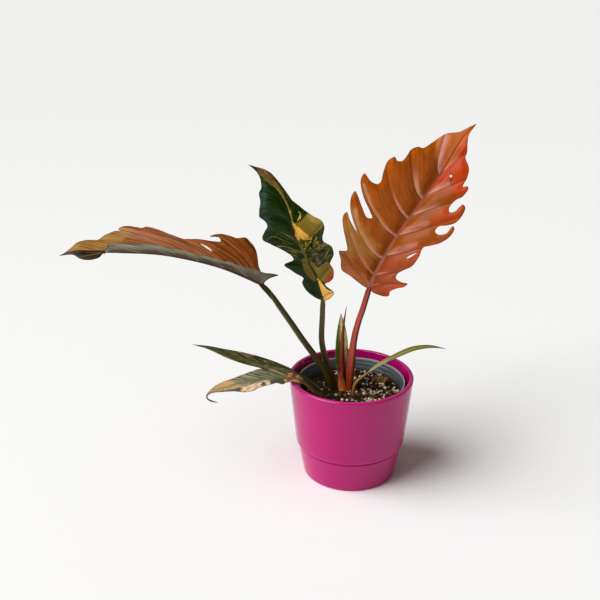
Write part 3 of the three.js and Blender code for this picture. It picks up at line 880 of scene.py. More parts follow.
@dataclass
class Stalk:
    """A leaf stalk or a rolled leaf: a tapering rod along a path, with a groove along its face."""

    node: str
    slot: str
    points: tuple[Point3, ...]
    radii: tuple[float, ...]  # at even spacing along it
    finish: StalkFinish
    facing: Point3 = (0.0, -1.0, 0.0)  # where the groove looks
    blade: Blade | None = None
    groove: float = 0.2  # depth, as a share of the radius
    groove_width: float = 30.0  # half width, in degrees
    flatten: tuple[float, ...] = (1.0,)  # depth over width, at even spacing along it
    rolled: float = 0.0  # how much a rolled leaf's outer turn overlaps the inner, as a share
    sides: int = 32

    RING_GAP = 1.6
    INTO_BLADE = (5.0, 15.0)  # where it lies in the midrib
    BELOW_BLADE = 0.5
    TAPER = 20  # how long it thins towards its end in the blade
    TAPERED = 0.75  # how much thinner it is there
    GROOVE_START = (0, 0.15)  # shares of the length between which the groove deepens
    SHOULDER = (1.6, 0.6)  # place and width of the ridge beside the groove, in its half widths
    SHOULDER_HEIGHT = 0.35  # as a share of the groove's depth

    def route(self) -> list[Point3]:
        """The points that the stalk runs through, up to and a little into its blade."""
        if self.blade is None:
            return list(self.points)
        point, _, up, *_ = self.blade.frame_at(np.array(self.INTO_BLADE))
        return [*self.points, *map(tuple, point - up * self.BELOW_BLADE)]

    def section(self, angle: np.ndarray, share: np.ndarray) -> np.ndarray:
        """The radius at each angle from the groove, as a share of the stalk's radius."""
        if self.rolled:
            return 1 - self.rolled * (angle + np.pi) / (2 * np.pi)
        turn = np.degrees(np.abs(angle)) / self.groove_width
        place, width = self.SHOULDER
        grown = ease(share, *self.GROOVE_START)
        groove = np.exp(-turn**2) * self.groove
        shoulder = np.exp(-((turn - place) / width) ** 2) * self.groove * self.SHOULDER_HEIGHT
        return 1 - groove * grown + shoulder * grown

    def build(self) -> Piece:
        """Builds the stalk as a closed body and dresses it.

        Returns:
            The finished piece.
        """
        path = Path(self.route())
        rings = round(path.length / self.RING_GAP)
        places = np.linspace(0, path.length, rings + 1)
        share = places / path.length
        centre, tangent = path.at(places)
        out = np.array(self.facing, float)
        out = unit(out - tangent * (tangent @ out)[:, None])
        side = np.cross(tangent, out)
        angle = np.linspace(-np.pi, np.pi, self.sides, endpoint=bool(self.rolled))
        radius = np.interp(share, np.linspace(0, 1, len(self.radii)), self.radii)
        if self.blade is not None:
            end = ease(places, path.length - self.TAPER, path.length)
            radius = radius * (1 - self.TAPERED * end)
        depth = np.interp(share, np.linspace(0, 1, len(self.flatten)), self.flatten)
        profile = self.section(angle[None], share[:, None]) * radius[:, None]
        ring = (centre[:, None]
                + out[:, None] * (profile * np.cos(angle) * depth[:, None])[..., None]
                + side[:, None] * (profile * np.sin(angle))[..., None])
        ends = (centre[k] + tangent[k] * sign * radius[k] * 0.5 for k, sign in ((0, -1), (-1, 1)))
        points = np.vstack([ring.reshape(-1, 3), *ends])
        n = self.sides
        steps = [(j, (j + 1) % n) for j in range(n)]
        first, last, top = len(points) - 2, len(points) - 1, rings * n
        faces: list[tuple[int, ...]] = [
            (i * n + j, i * n + after, (i + 1) * n + after, (i + 1) * n + j)
            for i in range(rings) for j, after in steps
        ]
        faces += [(first, after, j) for j, after in steps]
        faces += [(last, top + j, top + after) for j, after in steps]
        name = self.node.replace("_petiole", "_stalk").replace("_new_leaf", "_leaf_spear")
        piece = mesh_piece(name, points, faces)
        where = np.stack(np.broadcast_arrays(places[:, None], np.cos(angle), np.sin(angle)), -1)
        paint(piece, "stalk_map", np.vstack([where.reshape(-1, 3), [0, 0, 0], [path.length, 0, 0]]))
        piece.data.materials.append(self.finish.make())
        seat(piece, self.slot, self.node)
        return piece


@dataclass
class Leaf:
    """A blade on its stalk."""

    blade: Blade
    stalk: Stalk

    def build(self) -> None:
        """Builds both."""
        self.stalk.blade = self.blade
        self.stalk.build()
        self.blade.build()


def upright_leaf() -> Leaf:
    """The large caramel and coral leaf on the right, on its red stalk."""
    marks = (
        Patch("#8E4404", (((-6, 0), (214, 0), (214, 20), (150, 50), (60, 50), (-6, 50)),), soft=2,
            ragged=2, grain=5, cover=0.65),
        Patch("#BC8238", (((28, -40), (66, -63), (74, -58), (60, -34), (48, -12), (38, -10),
            (34, -26)),), soft=7, ragged=5, grain=7, cover=0.75),
        Patch("#F48A48", (((150, -1), (161, -13), (178, -22), (196, -14), (214, -3), (216, 3),
            (180, 2)),), soft=3, ragged=2, grain=6, cover=0.9),
        Patch("#C23612", (((128, 2), (150, 1), (175, 4), (200, 3), (215, 1), (198, 8), (180, 18),
            (168, 28), (150, 38), (136, 34), (131, 22), (134, 10)),), soft=6, ragged=6, grain=6,
            cover=0.75, deepest=7),
        Patch("#B83E18", (((104, 24), (116, 21), (124, 25), (127, 34), (128, 44), (118, 46),
            (109, 38)),), soft=5, ragged=4, grain=5, cover=0.6),
        Patch("#AC4C34", (((47, 3), (58, 12), (78, 31), (62, 35), (38, 26), (31, 26), (36, 40),
            (14, 28), (2, 24), (-2, 1), (19, 2), (33, 2)),), soft=6, ragged=5, grain=4, cover=0.6,
            deepest=5),
        Patch("#C44A30", (
            ((-4, 14), (6, 22), (13, 22), (21, 27), (30, 34), (34, 40), (24, 38), (6, 30)),
            ((62, 36), (60, 30), (70, 30), (80, 31), (90, 38), (76, 36)),
        ), soft=2, ragged=2, grain=4, cover=0.7),
        # A lighter orange band on the basal left lobe, partly its own colour and partly painted
        # highlight
        Patch("#D07E4C", (((0, 0), (9, -21), (12, -38), (24, -48), (32, -48), (26, -38), (20, -21),
            (8, -2)),), soft=4, ragged=3, cover=0.7),
        # Painted highlights: pale pink bands beside the side veins of the right half
        Patch("#D08A78", (
            ((46, 2), (60, 13), (75, 26), (78, 24), (65, 12), (51, 3)),
            ((72, 1), (88, 12.5), (100, 22), (103, 19), (91, 9.5), (76, 1)),
            ((97, 1), (109, 10), (121, 19.5), (124, 17), (113, 8), (101, 1)),
            ((123, 1), (132, 8), (143, 16), (147, 13.5), (137, 6), (128, 1)),
        ), soft=2.5, ragged=1, cover=0.55),
        # Painted highlights: pale tan bands beside the side veins of the left lobes
        Patch("#CC9268", (
            ((23, -12), (31, -24), (38, -32), (52, -46), (53, -44), (41, -31), (34, -22), (26, -11)),
            ((43, -14), (51, -30), (58, -41), (72, -56), (74, -55), (61, -40), (54, -28), (46, -13)),
            ((69, -12), (78, -34), (88, -52), (97, -63), (98, -61), (90, -49), (80.5, -32.5),
             (72, -12.5)),
        ), soft=1.5, ragged=1, cover=0.65),
        # Painted highlight: a pale pink band beside the top side vein on the left
        Patch("#C88C80", (((147, -1), (159, -10.5), (182, -18.5), (187, -16.5), (169, -10),
            (156, -3.5)),), soft=1.5, ragged=1, cover=0.85),
        Patch("#84480A", (((100, 6), (122, 8), (140, 14), (140, 30), (122, 22), (104, 18)),), soft=5,
            ragged=4, grain=5, cover=0.5),
        Patch("#5A2A10", (
            ((153, 8.5), (155, 9), (154.5, 11), (152.5, 10.8)),
            ((149, 12), (150, 14), (146, 16), (144, 16), (147, 13)),
        ), soft=0.6, ragged=0.6, grain=2, cover=0.8),
    )
    upper = LeafFinish(
        name="living caramel leaf skin", base="#B25606", streak="#8C3C00", vein="#D09478",
        furrow_shade="#541C06", rib="#B07064", margin="#74280C", rib_tip="#A84C1C", streak_gap=2.4,
        streak_cover=0.65, vein_cover=0.85, vein_width=0.19, roughness=0.3, refraction=1.22,
        patches=marks,
    )
    under = LeafFinish(
        name="living underside of the caramel leaf", face="under", base="#A8704A", streak="#955C38",
        vein="#B98A6C", furrow_shade="#7C4430", rib="#A05A48", margin="#8C3A14", streak_cover=0.5,
        vein_cover=0.5, roughness=0.5,
    )
    blade = Blade(
        node="upright_leaf_blade", slot="caramel_blade",
        midrib=((17, 5, 220), (26, 2, 245), (44, -2, 282), (69, -3, 322), (86, 0, 348), (101, 5, 373.5),
            (111, 9, 387.5), (123.5, 15, 398)),
        face_base=(-0.12, -1, 0.1), face_tip=(-0.05, -1, 0.15),
        folds=(Fold(0, (20, -0.25), (32, -0.3)), Fold(1, (14, -0.1), (24, -0.2))),
        # The basal lobe, five deep lobes, then the shoulder below the tip
        left=((5, 12.5), (11, 25), (15, 37), (23, 42), (30, 47.5), (34, 40.5), (42, 45.5), (53.5, 55.5),
            (62.5, 61.5), (67.5, 60.5), (62.5, 53), (55.5, 40.5), (63, 49.5), (72.5, 60), (81, 65),
            (87.5, 65), (86, 61.5), (78, 49.5), (72, 39), (74, 34.5), (78.5, 40.5), (86, 53),
            (94, 62.5), (100, 67), (107, 67.5), (104, 57.5), (105, 50), (109, 48.5), (120, 52.5),
            (129.5, 54.5), (136.5, 51), (134.5, 47), (137, 42.5), (146, 41), (154, 40.5), (160, 35.5),
            (161, 31), (171.5, 24.5), (184, 17.5), (193, 6.5), (205.5, 2)),
        # The basal lobe, a notch, four hooked lobes, then the shoulder
        right=((1, 10.5), (3.5, 20), (7, 25), (12, 24.5), (20, 29.5), (27.5, 36), (33, 37.5),
            (30.5, 31), (30.5, 24), (35, 22.5), (42.5, 26), (52.5, 32), (66, 33), (77, 31), (83, 35.5),
            (93, 43), (103.5, 46.5), (112, 45.5), (113, 42.5), (103.5, 41.5), (98, 35.5), (98.5, 31),
            (104.5, 31), (110.5, 37.5), (116.5, 42.5), (125, 44), (133.5, 42), (135, 38), (131.5, 36.5),
            (125.5, 35.5), (122, 31.5), (125, 28.5), (134, 29), (141, 33), (149.5, 33.5), (151, 31.5),
            (148.5, 27.5), (156.5, 26.5), (165, 24), (169, 20.5), (174.5, 14), (180, 12.5), (189.5, 7),
            (197, 3), (205, 1.2)),
        # A small round hole and a slit that an old wound left
        cuts=(
            ((150.2, 10.6), (152.2, 10.8), (152.5, 12.2), (151, 12.8), (149.9, 12)),
            ((57, 23), (59.5, 23.4), (63, 25.2), (68.4, 28.8), (63, 27), (59, 25)),
        ),
        left_veins=(Vein(4, (20, 24), (28, 44)), Vein(17, (38, 32), (63, 58)),
            Vein(38, (57, 40), (76, 60)), Vein(67, (77, 33), (97, 65)), Vein(90, (105, 33), (124, 53)),
            Vein(115, (129, 24), (150, 40)), Vein(146, (158, 10), (182, 18))),
        right_veins=(Vein(4, (18, 17), (31, 36)), Vein(17, (31, 15), (40, 25)),
            Vein(43, (60, 17), (78, 31)), Vein(69, (88, 16), (103, 27)), Vein(94, (110, 11), (124, 22)),
            Vein(121, (133, 9), (148, 20)), Vein(147, (160, 4.5), (176, 11))),
        upper=upper, under=under, bulge=2.6, wave=1.0, rib_width=(2.3, 0.6), seed=3,
    )
    finish = StalkFinish(
        name="living red stalk skin", face="#A84A3C", back="#7C2210", left="#8A3020", right="#5C1008",
        foot="#802C0C", foot_length=64,
    )
    stalk = Stalk(
        node="upright_leaf_petiole", slot="red_stalk",
        points=((-4, -1, 86), (-2.2, -2, 101), (-0.3, -1, 135.5), (2.7, 0, 164.5), (6.8, 2, 183),
            (11.5, 3.5, 198)),
        radii=(3, 3.6, 4.7, 4.5, 3.7, 3.4, 3.2, 3.1, 3), finish=finish, facing=(-0.45, -0.9, 0.1),
        groove=0.3, groove_width=36, flatten=(1, 0.9, 0.7, 0.75, 0.95, 1),
    )
    return Leaf(blade, stalk)


def green_leaf() -> Leaf:
    """The very dark green leaf with khaki and orange marbling."""
    marks = (
        # Painted reflection: a bluish-green sheen near the left margin
        Patch("#3C5A50", (((160, -6), (150, -13), (140, -21), (131, -27), (118, -33), (104, -28),
            (96, -30), (90, -38), (88, -34), (98, -24), (106, -22), (118, -24), (130, -19), (142, -12),
            (152, -6)),), soft=3, ragged=4, grain=5, cover=0.35, deepest=2),
        Patch("#705E1A", (
            ((97, 2), (100, 12), (104, 21), (108, 30), (105, 39), (98, 46), (92, 40), (87, 31),
             (82, 23), (80, 17), (80, 6), (88, 2)),
            ((54, 3), (52, 9), (46, 13), (53, 27), (50, 36), (38, 30), (27, 13), (31, 5), (38, 3)),
            ((58, -5), (57, -1), (50, -1), (39, -1), (27, -1), (27, -3), (36, -7), (45, -8)),
        ), soft=0.5, ragged=0.8, grain=3),
        Patch("#6A5818", (((77, 1), (79, 17), (80, 31), (77, 40), (68, 47), (57, 38), (51, 26), (54, 6),
            (65, 1)),), soft=0.6, ragged=4, grain=3.4, drawn_out=2.4, cover=0.9, deepest=0.0),
        Patch("#101C04", (((77, 1), (79, 17), (80, 31), (77, 40), (68, 47), (57, 38), (51, 26), (54, 6),
            (65, 1)),), soft=0.5, ragged=4, grain=5.5, drawn_out=1.3, deepest=-0.6),
        Patch("#B48A34", (((80, 1), (80, 20), (84, 26), (80, 30), (76, 14), (66, 4), (62, 1)),),
            soft=0.4, ragged=4, grain=3, drawn_out=3, deepest=-2),
        Patch("#8A7A34", (((88, -28), (90, -14), (78, -4), (62, 0), (58, -9), (70, -18)),), soft=0.6,
            ragged=4, grain=1.8, drawn_out=8, cover=0.65, deepest=-1.2),
        Patch("#7C6230", (((170, 4), (157, 16), (149, 15), (134, 13), (124, 10), (129, 2), (141, -2),
            (152, -4), (164, -3)),), soft=0.8, ragged=1.2, grain=4, cover=0.9),
        Patch("#6C3410", (((170, 5), (157, 17), (146, 18), (146, 11), (156, 9), (166, 3)),), soft=2,
            ragged=1.2, cover=0.85),
        Patch("#A87C30", (((107, 28), (108, 34), (104, 42), (98, 46), (98, 38), (103, 31)),), soft=2.5,
            ragged=2, grain=3, cover=0.6),
        Patch("#E0A648", (((101, -1), (96, 4), (94, 11), (89, 17), (85, 20), (80, 16), (80, 9), (84, 4),
            (78, 1), (79, -1), (90, -1)),), soft=0.4, ragged=0.9, grain=2.4),
        Patch("#AC8840", (((146, -0.2), (146, 0.1), (99, 0.3), (99, -0.2)),), soft=0.3, ragged=0.2,
            cover=0.9),
        Patch("#D4A04C", (
            ((112, -0.8), (112, 1.2), (109, 1.2), (109, -0.8)),
            ((124, 2.5), (123, 4), (121, 4), (122, 2)),
            ((100.5, 9), (104, 11.8), (108, 15.8), (110.5, 17.2), (109.4, 19), (106.9, 16.8),
             (103.2, 13)),
            ((103, 14), (105.5, 15.6), (106.8, 17.4), (105, 17), (103, 15.4)),
        ), soft=0.35, ragged=0.3, grain=2),
        Patch("#6E6A2A", (((78, 0.7), (78, -0.7), (56, -0.7), (56, 0.7)),), soft=0.3, ragged=0.4,
            grain=2, cover=0.8),
        Patch("#ECB254", (((31, 2), (24, 8), (19, 12), (15, 20), (8, 15), (0, 3), (11, 1), (22, 1)),),
            soft=0.4, ragged=0.5, grain=4),
        Patch("#9A3A12", (((52, 32), (47, 30), (40, 26), (32, 16), (26, 11), (24, 13), (32, 28),
            (41, 33)),), soft=2.2, ragged=1.5, grain=3, cover=0.9),
    )
    upper = LeafFinish(
        name="living dark green marbled leaf skin", base="#1E3402", streak="#0C1C02", vein="#22380A",
        furrow_shade="#081404", rib="#3A3C14", margin="#26300C", rib_cover=0.5, streak_gap=2.6,
        streak_cover=0.9, vein_cover=0.3, furrow_cover=0.5, roughness=0.22, refraction=1.24,
        patches=marks,
    )
    under = LeafFinish(
        name="living underside of the dark green leaf", face="under",
        base="#4A5632", streak="#3C4828", vein="#66704A", furrow_shade="#323C20", rib="#7A7448",
        margin="#6A3A20", streak_cover=0.5, roughness=0.5, patches=tuple(
            Patch(colour, patch.outlines, patch.soft, patch.ragged, patch.grain, patch.drawn_out,
                  0.8)
            for colour, patch in zip(("#86784A", "#7C704A", "#7A7448"), upper.patches[1:])
        ),
    )
    blade = Blade(
        node="green_leaf_blade", slot="marbled_green_blade",
        midrib=((-31.5, 6, 205.5), (-40, 2, 234.5), (-49, -1, 255), (-60.5, -3, 283.5), (-72, 0, 319.5),
            (-92, 10, 344.5), (-111.5, 18, 355)),
        face_base=(-0.35, -1, 0.1), face_tip=(-0.45, -1, 0.2),
        folds=(Fold(0, (22, -0.2), (28, -0.3)), Fold(0.6, (22, -0.15), (32, -0.2)),
            Fold(0.68, (22, -0.15), (52, -0.1)), Fold(1, (24, 0), (60, 0))),
        left=((9.5, 9), (20, 15), (32, 16), (36, 13), (49, 19.5), (59.5, 25), (60.5, 14), (64.5, 13.5),
            (74, 19), (84.5, 29), (90.5, 36), (98.5, 30.5), (101.5, 27.5), (107, 27.5), (118, 32),
            (129, 29), (138, 23), (148, 18), (150.5, 13), (156.5, 8.5), (167.5, 3)),
        right=((8, 14), (15.5, 19.5), (24, 11), (29, 20.5), (34, 27), (42, 31), (49, 30.5), (62, 42),
            (71, 43.5), (78, 37), (88, 43), (95, 46.5), (101, 44.5), (108, 31), (121, 23), (134, 21.5),
            (152, 20.5), (158, 18), (168, 6)),
        left_veins=(Vein(4, (10, 5), (16, 12)), Vein(18, (26, 5), (36, 12)),
            Vein(47, (56, 9), (60, 25)), Vein(70, (86, 12), (90, 35)), Vein(97, (108, 10), (117, 30)),
            Vein(121, (137, 8), (149, 18))),
        right_veins=(Vein(4, (10, 8), (15, 19)), Vein(25, (36, 14), (45, 28)),
            Vein(51, (57, 14), (70, 43)), Vein(75, (81, 16), (99, 45)), Vein(101, (106, 13), (116, 26)),
            Vein(125, (135, 10), (150, 20))),
        upper=upper, under=under, bulge=2.0, wave=1.2, rib_width=(1.5, 0.4), rib_height=0.4, seed=11,
    )
    # Its paler bluish-green left side is a painted highlight
    finish = StalkFinish(
        name="living grey-green stalk skin", face="#3A4020", back="#2C3416", left="#4E624A",
        right="#8A4810", foot="#3C4818", foot_length=12,
    )
    stalk = Stalk(
        node="green_leaf_petiole", slot="green_stalk",
        points=((-17.5, 6.2, 86.5), (-18.4, 10, 102), (-24, 10, 119), (-30, 9, 139.5),
            (-33.4, 8.3, 160), (-32.8, 7, 190)),
        radii=(3.2, 3.6, 3.6, 3.4, 3.2, 3.1, 2.9, 2.4), finish=finish, facing=(-0.35, -0.95, 0.1),
        groove=0.18,
    )
    return Leaf(blade, stalk)


def arching_leaf() -> Leaf:
    """The long orange leaf that arches to the left, seen mostly on its underside."""
    green_tip = Patch("#10140A", (((171, -1), (172, -16), (186, -16), (200, -12), (217, -3), (217, 0),
        (200, -1), (185, -1)),), soft=1.5, ragged=1.2, grain=6)
    marks = (
        Patch("#A8843A", (
            ((204, 12), (190, 17), (179, 13), (168, 15), (158, 10), (175, 4), (186, 1), (207, 1)),
            ((183, 19), (165, 30), (150, 30), (157, 16), (173, 12)),
        ), soft=2, ragged=6, grain=7, drawn_out=3, cover=0.75, deepest=2),
        Patch("#B88064", (((160, 40), (124, 40), (84, 26), (54, 9), (90, 8), (124, 14), (160, 26)),),
            soft=0.8, ragged=5, grain=6, drawn_out=5, cover=0.7, deepest=-1.2),
        Patch("#B04818", (((2, 4), (12, 22), (20, 40), (34, 50), (44, 44), (34, 24), (18, 6)),), soft=2,
            ragged=5, grain=6, drawn_out=3, cover=0.45, deepest=1),
        Patch("#4E3410", (((2, 4), (12, 22), (20, 40), (34, 52), (60, 46), (60, 24), (56, 6)),),
            soft=0.5, ragged=4, grain=4.5, drawn_out=6, cover=0.85, deepest=-1.3),
        Patch("#3A241A", (((-2, 6), (6, 12), (14, 28), (20, 40), (16, 42), (8, 28), (-2, 14)),),
            soft=1.5, ragged=1, cover=0.85),
        green_tip,
        Patch("#2C2C04", (((178, -6), (182, -12), (198, -12), (208, -5), (196, -5)),), soft=1.5,
            ragged=1, cover=0.9),
    )
    upper = LeafFinish(
        name="living orange leaf skin", base="#A45818", streak="#5A2C10", vein="#B07850",
        furrow_shade="#3A200C", rib="#7A5A3A", margin="#5E2A14", rib_tip="#1A1C0E", streak_gap=6.0,
        streak_cover=0.85, streak_edge=0.06, vein_cover=0.5, vein_reach=0.95, furrow_cover=0.8,
        roughness=0.38, refraction=1.3, patches=marks,
    )
    under_marks = (
        Patch("#4A321C", (
            ((-6, 1), (216, 1), (216, -3), (150, -5), (60, -8), (0, -11)),
            ((-6, -1), (216, -1), (216, 3), (150, 3.5), (60, 4), (0, 5)),
        ), soft=2, ragged=1.5, drawn_out=8, cover=0.92),
        Patch("#A89E86", (((20, -22), (60, -14), (110, -15), (160, -14), (160, -19), (110, -19),
            (60, -17)),), soft=2, ragged=3, grain=2, drawn_out=10, cover=0.5),
        Patch("#3A2E20", (((-10, -18), (8, -20), (10, -40), (-10, -40)),), soft=4, ragged=2,
            cover=0.85),
        Patch("#5A5240", (((-4, -1), (34, -1), (40, -24), (4, -30), (-6, -20)),), soft=5, ragged=3,
            grain=4, cover=0.7),
    )
    under = LeafFinish(
        name="living grey underside of the orange leaf", face="under", base="#86826A", streak="#56523E",
        vein="#A8A28A", furrow_shade="#3E3A28", rib="#3A2414", margin="#5E4C30", streak_gap=6.0,
        streak_cover=0.85, streak_edge=0.07, vein_cover=0.5, vein_reach=1.0, furrow_cover=0.85,
        roughness=0.5, refraction=1.27, patches=under_marks,
    )
    blade = Blade(
        node="arching_leaf_blade", slot="orange_blade",
        midrib=((-96.5, -6, 229.5), (-118, -6, 240), (-142, -6, 250), (-172.5, -5, 258),
            (-208, -4, 264), (-249, -3, 265.5), (-272, -4, 266), (-295, -6, 267), (-312, -8, 263)),
        face_base=(0, -0.05, 1), face_tip=(0, -0.1, 1),
        folds=(Fold(0, (48, 0), (32, -0.15)), Fold(0.1, (44, 0), (32, -0.15)),
            Fold(0.75, (42, 0), (28, -0.15)), Fold(0.8, (-20, 0), (28, -0.15)),
            Fold(1, (-35, 0), (26, -0.1))),
        # The half towards the viewer, with a hooked basal lobe
        left=((1, 9), (-1, 22), (-6, 36), (3, 31), (8, 28), (17, 28), (30, 24), (44, 22.5), (47, 17.5),
            (64, 19), (78, 18), (86, 21.5), (104, 23.5), (120, 26.5), (139, 24.5), (156, 27), (165, 25),
            (172, 16), (175, 3.5), (179, 9), (186, 12), (194, 12), (201, 9), (207, 4), (215, 1.5)),
        right=((6, 12), (12, 20), (17, 32), (22.5, 42), (30, 48), (35, 50.5), (43, 45.5), (51.5, 44.5),
            (59.5, 43.5), (67, 39.5), (70, 35.5), (61, 38), (58, 33), (65.5, 30), (75.5, 29), (84, 28),
            (92, 25.5), (96, 25), (110, 28.5), (125, 34), (135.5, 36.5), (140.5, 34.5), (145, 35.5),
            (153, 37), (160.5, 36), (164, 32.5), (161, 30.5), (167.5, 29), (175, 24.5), (183, 17),
            (195.5, 15), (204, 12), (208, 7), (216, 2)),
        cuts=(((63, 15.4), (66, 16.2), (71, 18.4), (77.5, 21.9), (71, 20.4), (66, 18)),),
        left_veins=(Vein(3, (0, 16), (-4, 34)), Vein(16, (28, 10), (38, 24)),
            Vein(40, (58, 8), (78, 19)), Vein(68, (88, 11), (112, 25)), Vein(98, (122, 12), (146, 26)),
            Vein(130, (152, 12), (174, 25)), Vein(170, (188, 6), (202, 11))),
        right_veins=(Vein(2, (20, 26), (42, 44)), Vein(10, (34, 24), (56, 35)),
            Vein(28, (60, 21), (88, 27)), Vein(45, (81, 18), (138, 36)), Vein(72, (108, 15), (165, 32)),
            Vein(95, (132, 15), (170, 27)), Vein(122, (160, 14), (186, 17)),
            Vein(158, (182, 7), (206, 12))),
        upper=upper, under=under, bulge=1.8, wave=0.9, rib_width=(3.6, 1.2), rib_depth=2.2, seed=23,
    )
    finish = StalkFinish(
        name="living olive stalk skin", face="#3E3A10", back="#302C0E", left="#1A1C08", right="#463E14",
        foot="#1A220A", foot_length=40, roughness=0.4,
    )
    stalk = Stalk(
        node="arching_leaf_petiole", slot="olive_stalk",
        points=((-14, 0, 86), (-18.2, 1, 100), (-27.2, 0, 119.5), (-37.5, -1, 137), (-53, -3, 161),
            (-66.5, -4, 183), (-80.4, -5, 205), (-90, -6, 219.5)),
        radii=(3.6, 4.4, 4.1, 3.8, 3.5, 3.3, 3.1, 3, 2.8), finish=finish, facing=(-0.6, -0.1, 0.8),
        groove=0.22,
    )
    return Leaf(blade, stalk)


def lower_leaf() -> Leaf:
    """The lower small leaf on the left, cream-marbled, crumpled at its foot and curled at its tip."""
    marks = (
        Patch("#74762E", (((30, 0), (50, 3), (74, 6), (84, 5), (60, 0)),), soft=0.6, ragged=3, grain=6,
            drawn_out=1.5, cover=0.8, deepest=0),
        Patch("#2E3422", (((18, 3), (24, 12), (50, 16), (80, 12), (92, 8), (66, 1)),), soft=0.4,
            ragged=3, grain=5.5, drawn_out=1.6, cover=0.9, deepest=-0.8),
        Patch("#C08C48", (((160, 3), (112, 3), (100, 8), (88, 10), (82, 6), (78, 1), (72, -3), (80, -4),
            (90, -3), (108, -2), (160, -3)),), soft=0.6, ragged=3, grain=5, drawn_out=1.5, cover=0.9,
            deepest=1.2),
        Patch("#CC9858", (((72, -6.5), (58, -6), (44, -3), (26, -2.5), (18, 0), (18, -12), (38, -12),
            (52, -12), (68, -14)),), soft=0.4, ragged=2.4, grain=5, drawn_out=0.8, cover=0.95,
            deepest=1.2),
        Patch("#E4C8A6", (((70, -5), (58, -4.6), (44, -1.6), (26, -1.6), (22, -4), (38, -6), (52, -9),
            (68, -9)),), soft=0.4, ragged=2.4, grain=4, drawn_out=0.7, cover=0.95, deepest=0.2),
        Patch("#2C3624", (
            ((39, -2), (24, -2), (24, -12), (36, -12)),
            ((48, -3), (45, -3), (44, -7), (49, -7)),
            ((109, -1), (89, -4), (72, -6), (76, -12), (92, -10), (110, -4)),
        ), soft=0.7, ragged=1.2, grain=3, cover=0.95),
        Patch("#9A5430", (((21, 5), (10, 9), (-8, 9), (-8, -8), (10, -6), (20, -4)),), soft=1.5,
            ragged=2, grain=2.5, cover=0.95),
        Patch("#DCA07C", (((19, 6), (8, 8), (-6, 8), (-6, -6), (10, -5), (19, -5)),), soft=0.5,
            ragged=3, grain=2.4, drawn_out=2, cover=0.8, deepest=-0.8),
        Patch("#7A4426", (((112, 4), (160, 4), (160, -4), (112, -4)),), soft=4, ragged=1),
    )
    upper = LeafFinish(
        name="living grey-green cream-marbled leaf skin", base="#565638", streak="#98926A",
        vein="#9A946A", furrow_shade="#262C1A", rib="#5A5632", margin="#6E5432", rib_cover=0.6,
        streak_gap=5.5, streak_cover=0.9, streak_edge=0.05, vein_cover=0.5, furrow_cover=0.8,
        roughness=0.42, refraction=1.33, patches=marks,
    )
    under = LeafFinish(
        name="living underside of the cream-marbled leaf", face="under", base="#6E704E",
        streak="#8A8664", vein="#8A8A68", furrow_shade="#4A4E34", rib="#7A6A40", margin="#7A6440",
        streak_gap=1.2, roughness=0.5, patches=upper.patches,
    )
    blade = Blade(
        node="lower_leaf_blade", slot="cream_marbled_blade",
        midrib=((-53, -21.5, 122), (-62, -24, 126.2), (-79.5, -26.5, 128), (-99, -27, 126.6),
            (-123.5, -26, 121.5), (-143.5, -24, 114.5), (-157.5, -23, 108), (-161, -22.5, 102.5),
            (-157, -22, 98), (-148, -22, 95.5)),
        face_base=(0, -0.3, 0.95), face_tip=(-0.4, -0.6, 0.6),
        folds=(Fold(0, (-12, 0), (8, -0.5)), Fold(0.75, (-18, 0), (6, -0.5)), Fold(1, (0, 0), (0, 0))),
        left=((1, 4), (8, 5.5), (15, 3.2), (22, 6), (26, 7.5), (32, 5.5), (38, 7), (45, 8), (52, 9),
            (59, 11.5), (69, 11), (80, 7.5), (91, 5), (101, 2.5), (108, 1.2), (114, 0.9), (126, 0.8)),
        right=((1, 4), (8, 6.5), (16, 8), (24, 9.6), (32, 12), (46, 14.2), (58, 12.5), (70, 10),
            (80, 8), (91, 7.4), (101, 5.6), (108, 3), (114, 1.1), (126, 0.8)),
        left_veins=even_veins(131, 9, 26, 9), right_veins=even_veins(131, 9, 30, 12), upper=upper,
        under=under, grid=0.7, bulge=1.0, wave=1.6, wave_length=15, rib_width=(2.0, 0.7),
        rib_height=0.3, rib_depth=0.8, crumple=(2.6, 0, 20), seed=31,
    )
    finish = StalkFinish(
        name="living orange-brown stalk skin", face="#5A4A20", back="#8A5A30", left="#C07A48",
        right="#3E4A1A", foot="#40461C", foot_length=8,
    )
    stalk = Stalk(
        node="lower_leaf_petiole", slot="orange_stalk",
        points=((-27, -6, 86), (-30.5, -14, 98), (-41, -19, 108), (-47, -20.5, 115)),
        radii=(2, 2.5, 2.7, 2.5, 2.1), finish=finish, facing=(0.55, -0.65, 0.5), groove=0.3,
    )
    return Leaf(blade, stalk)


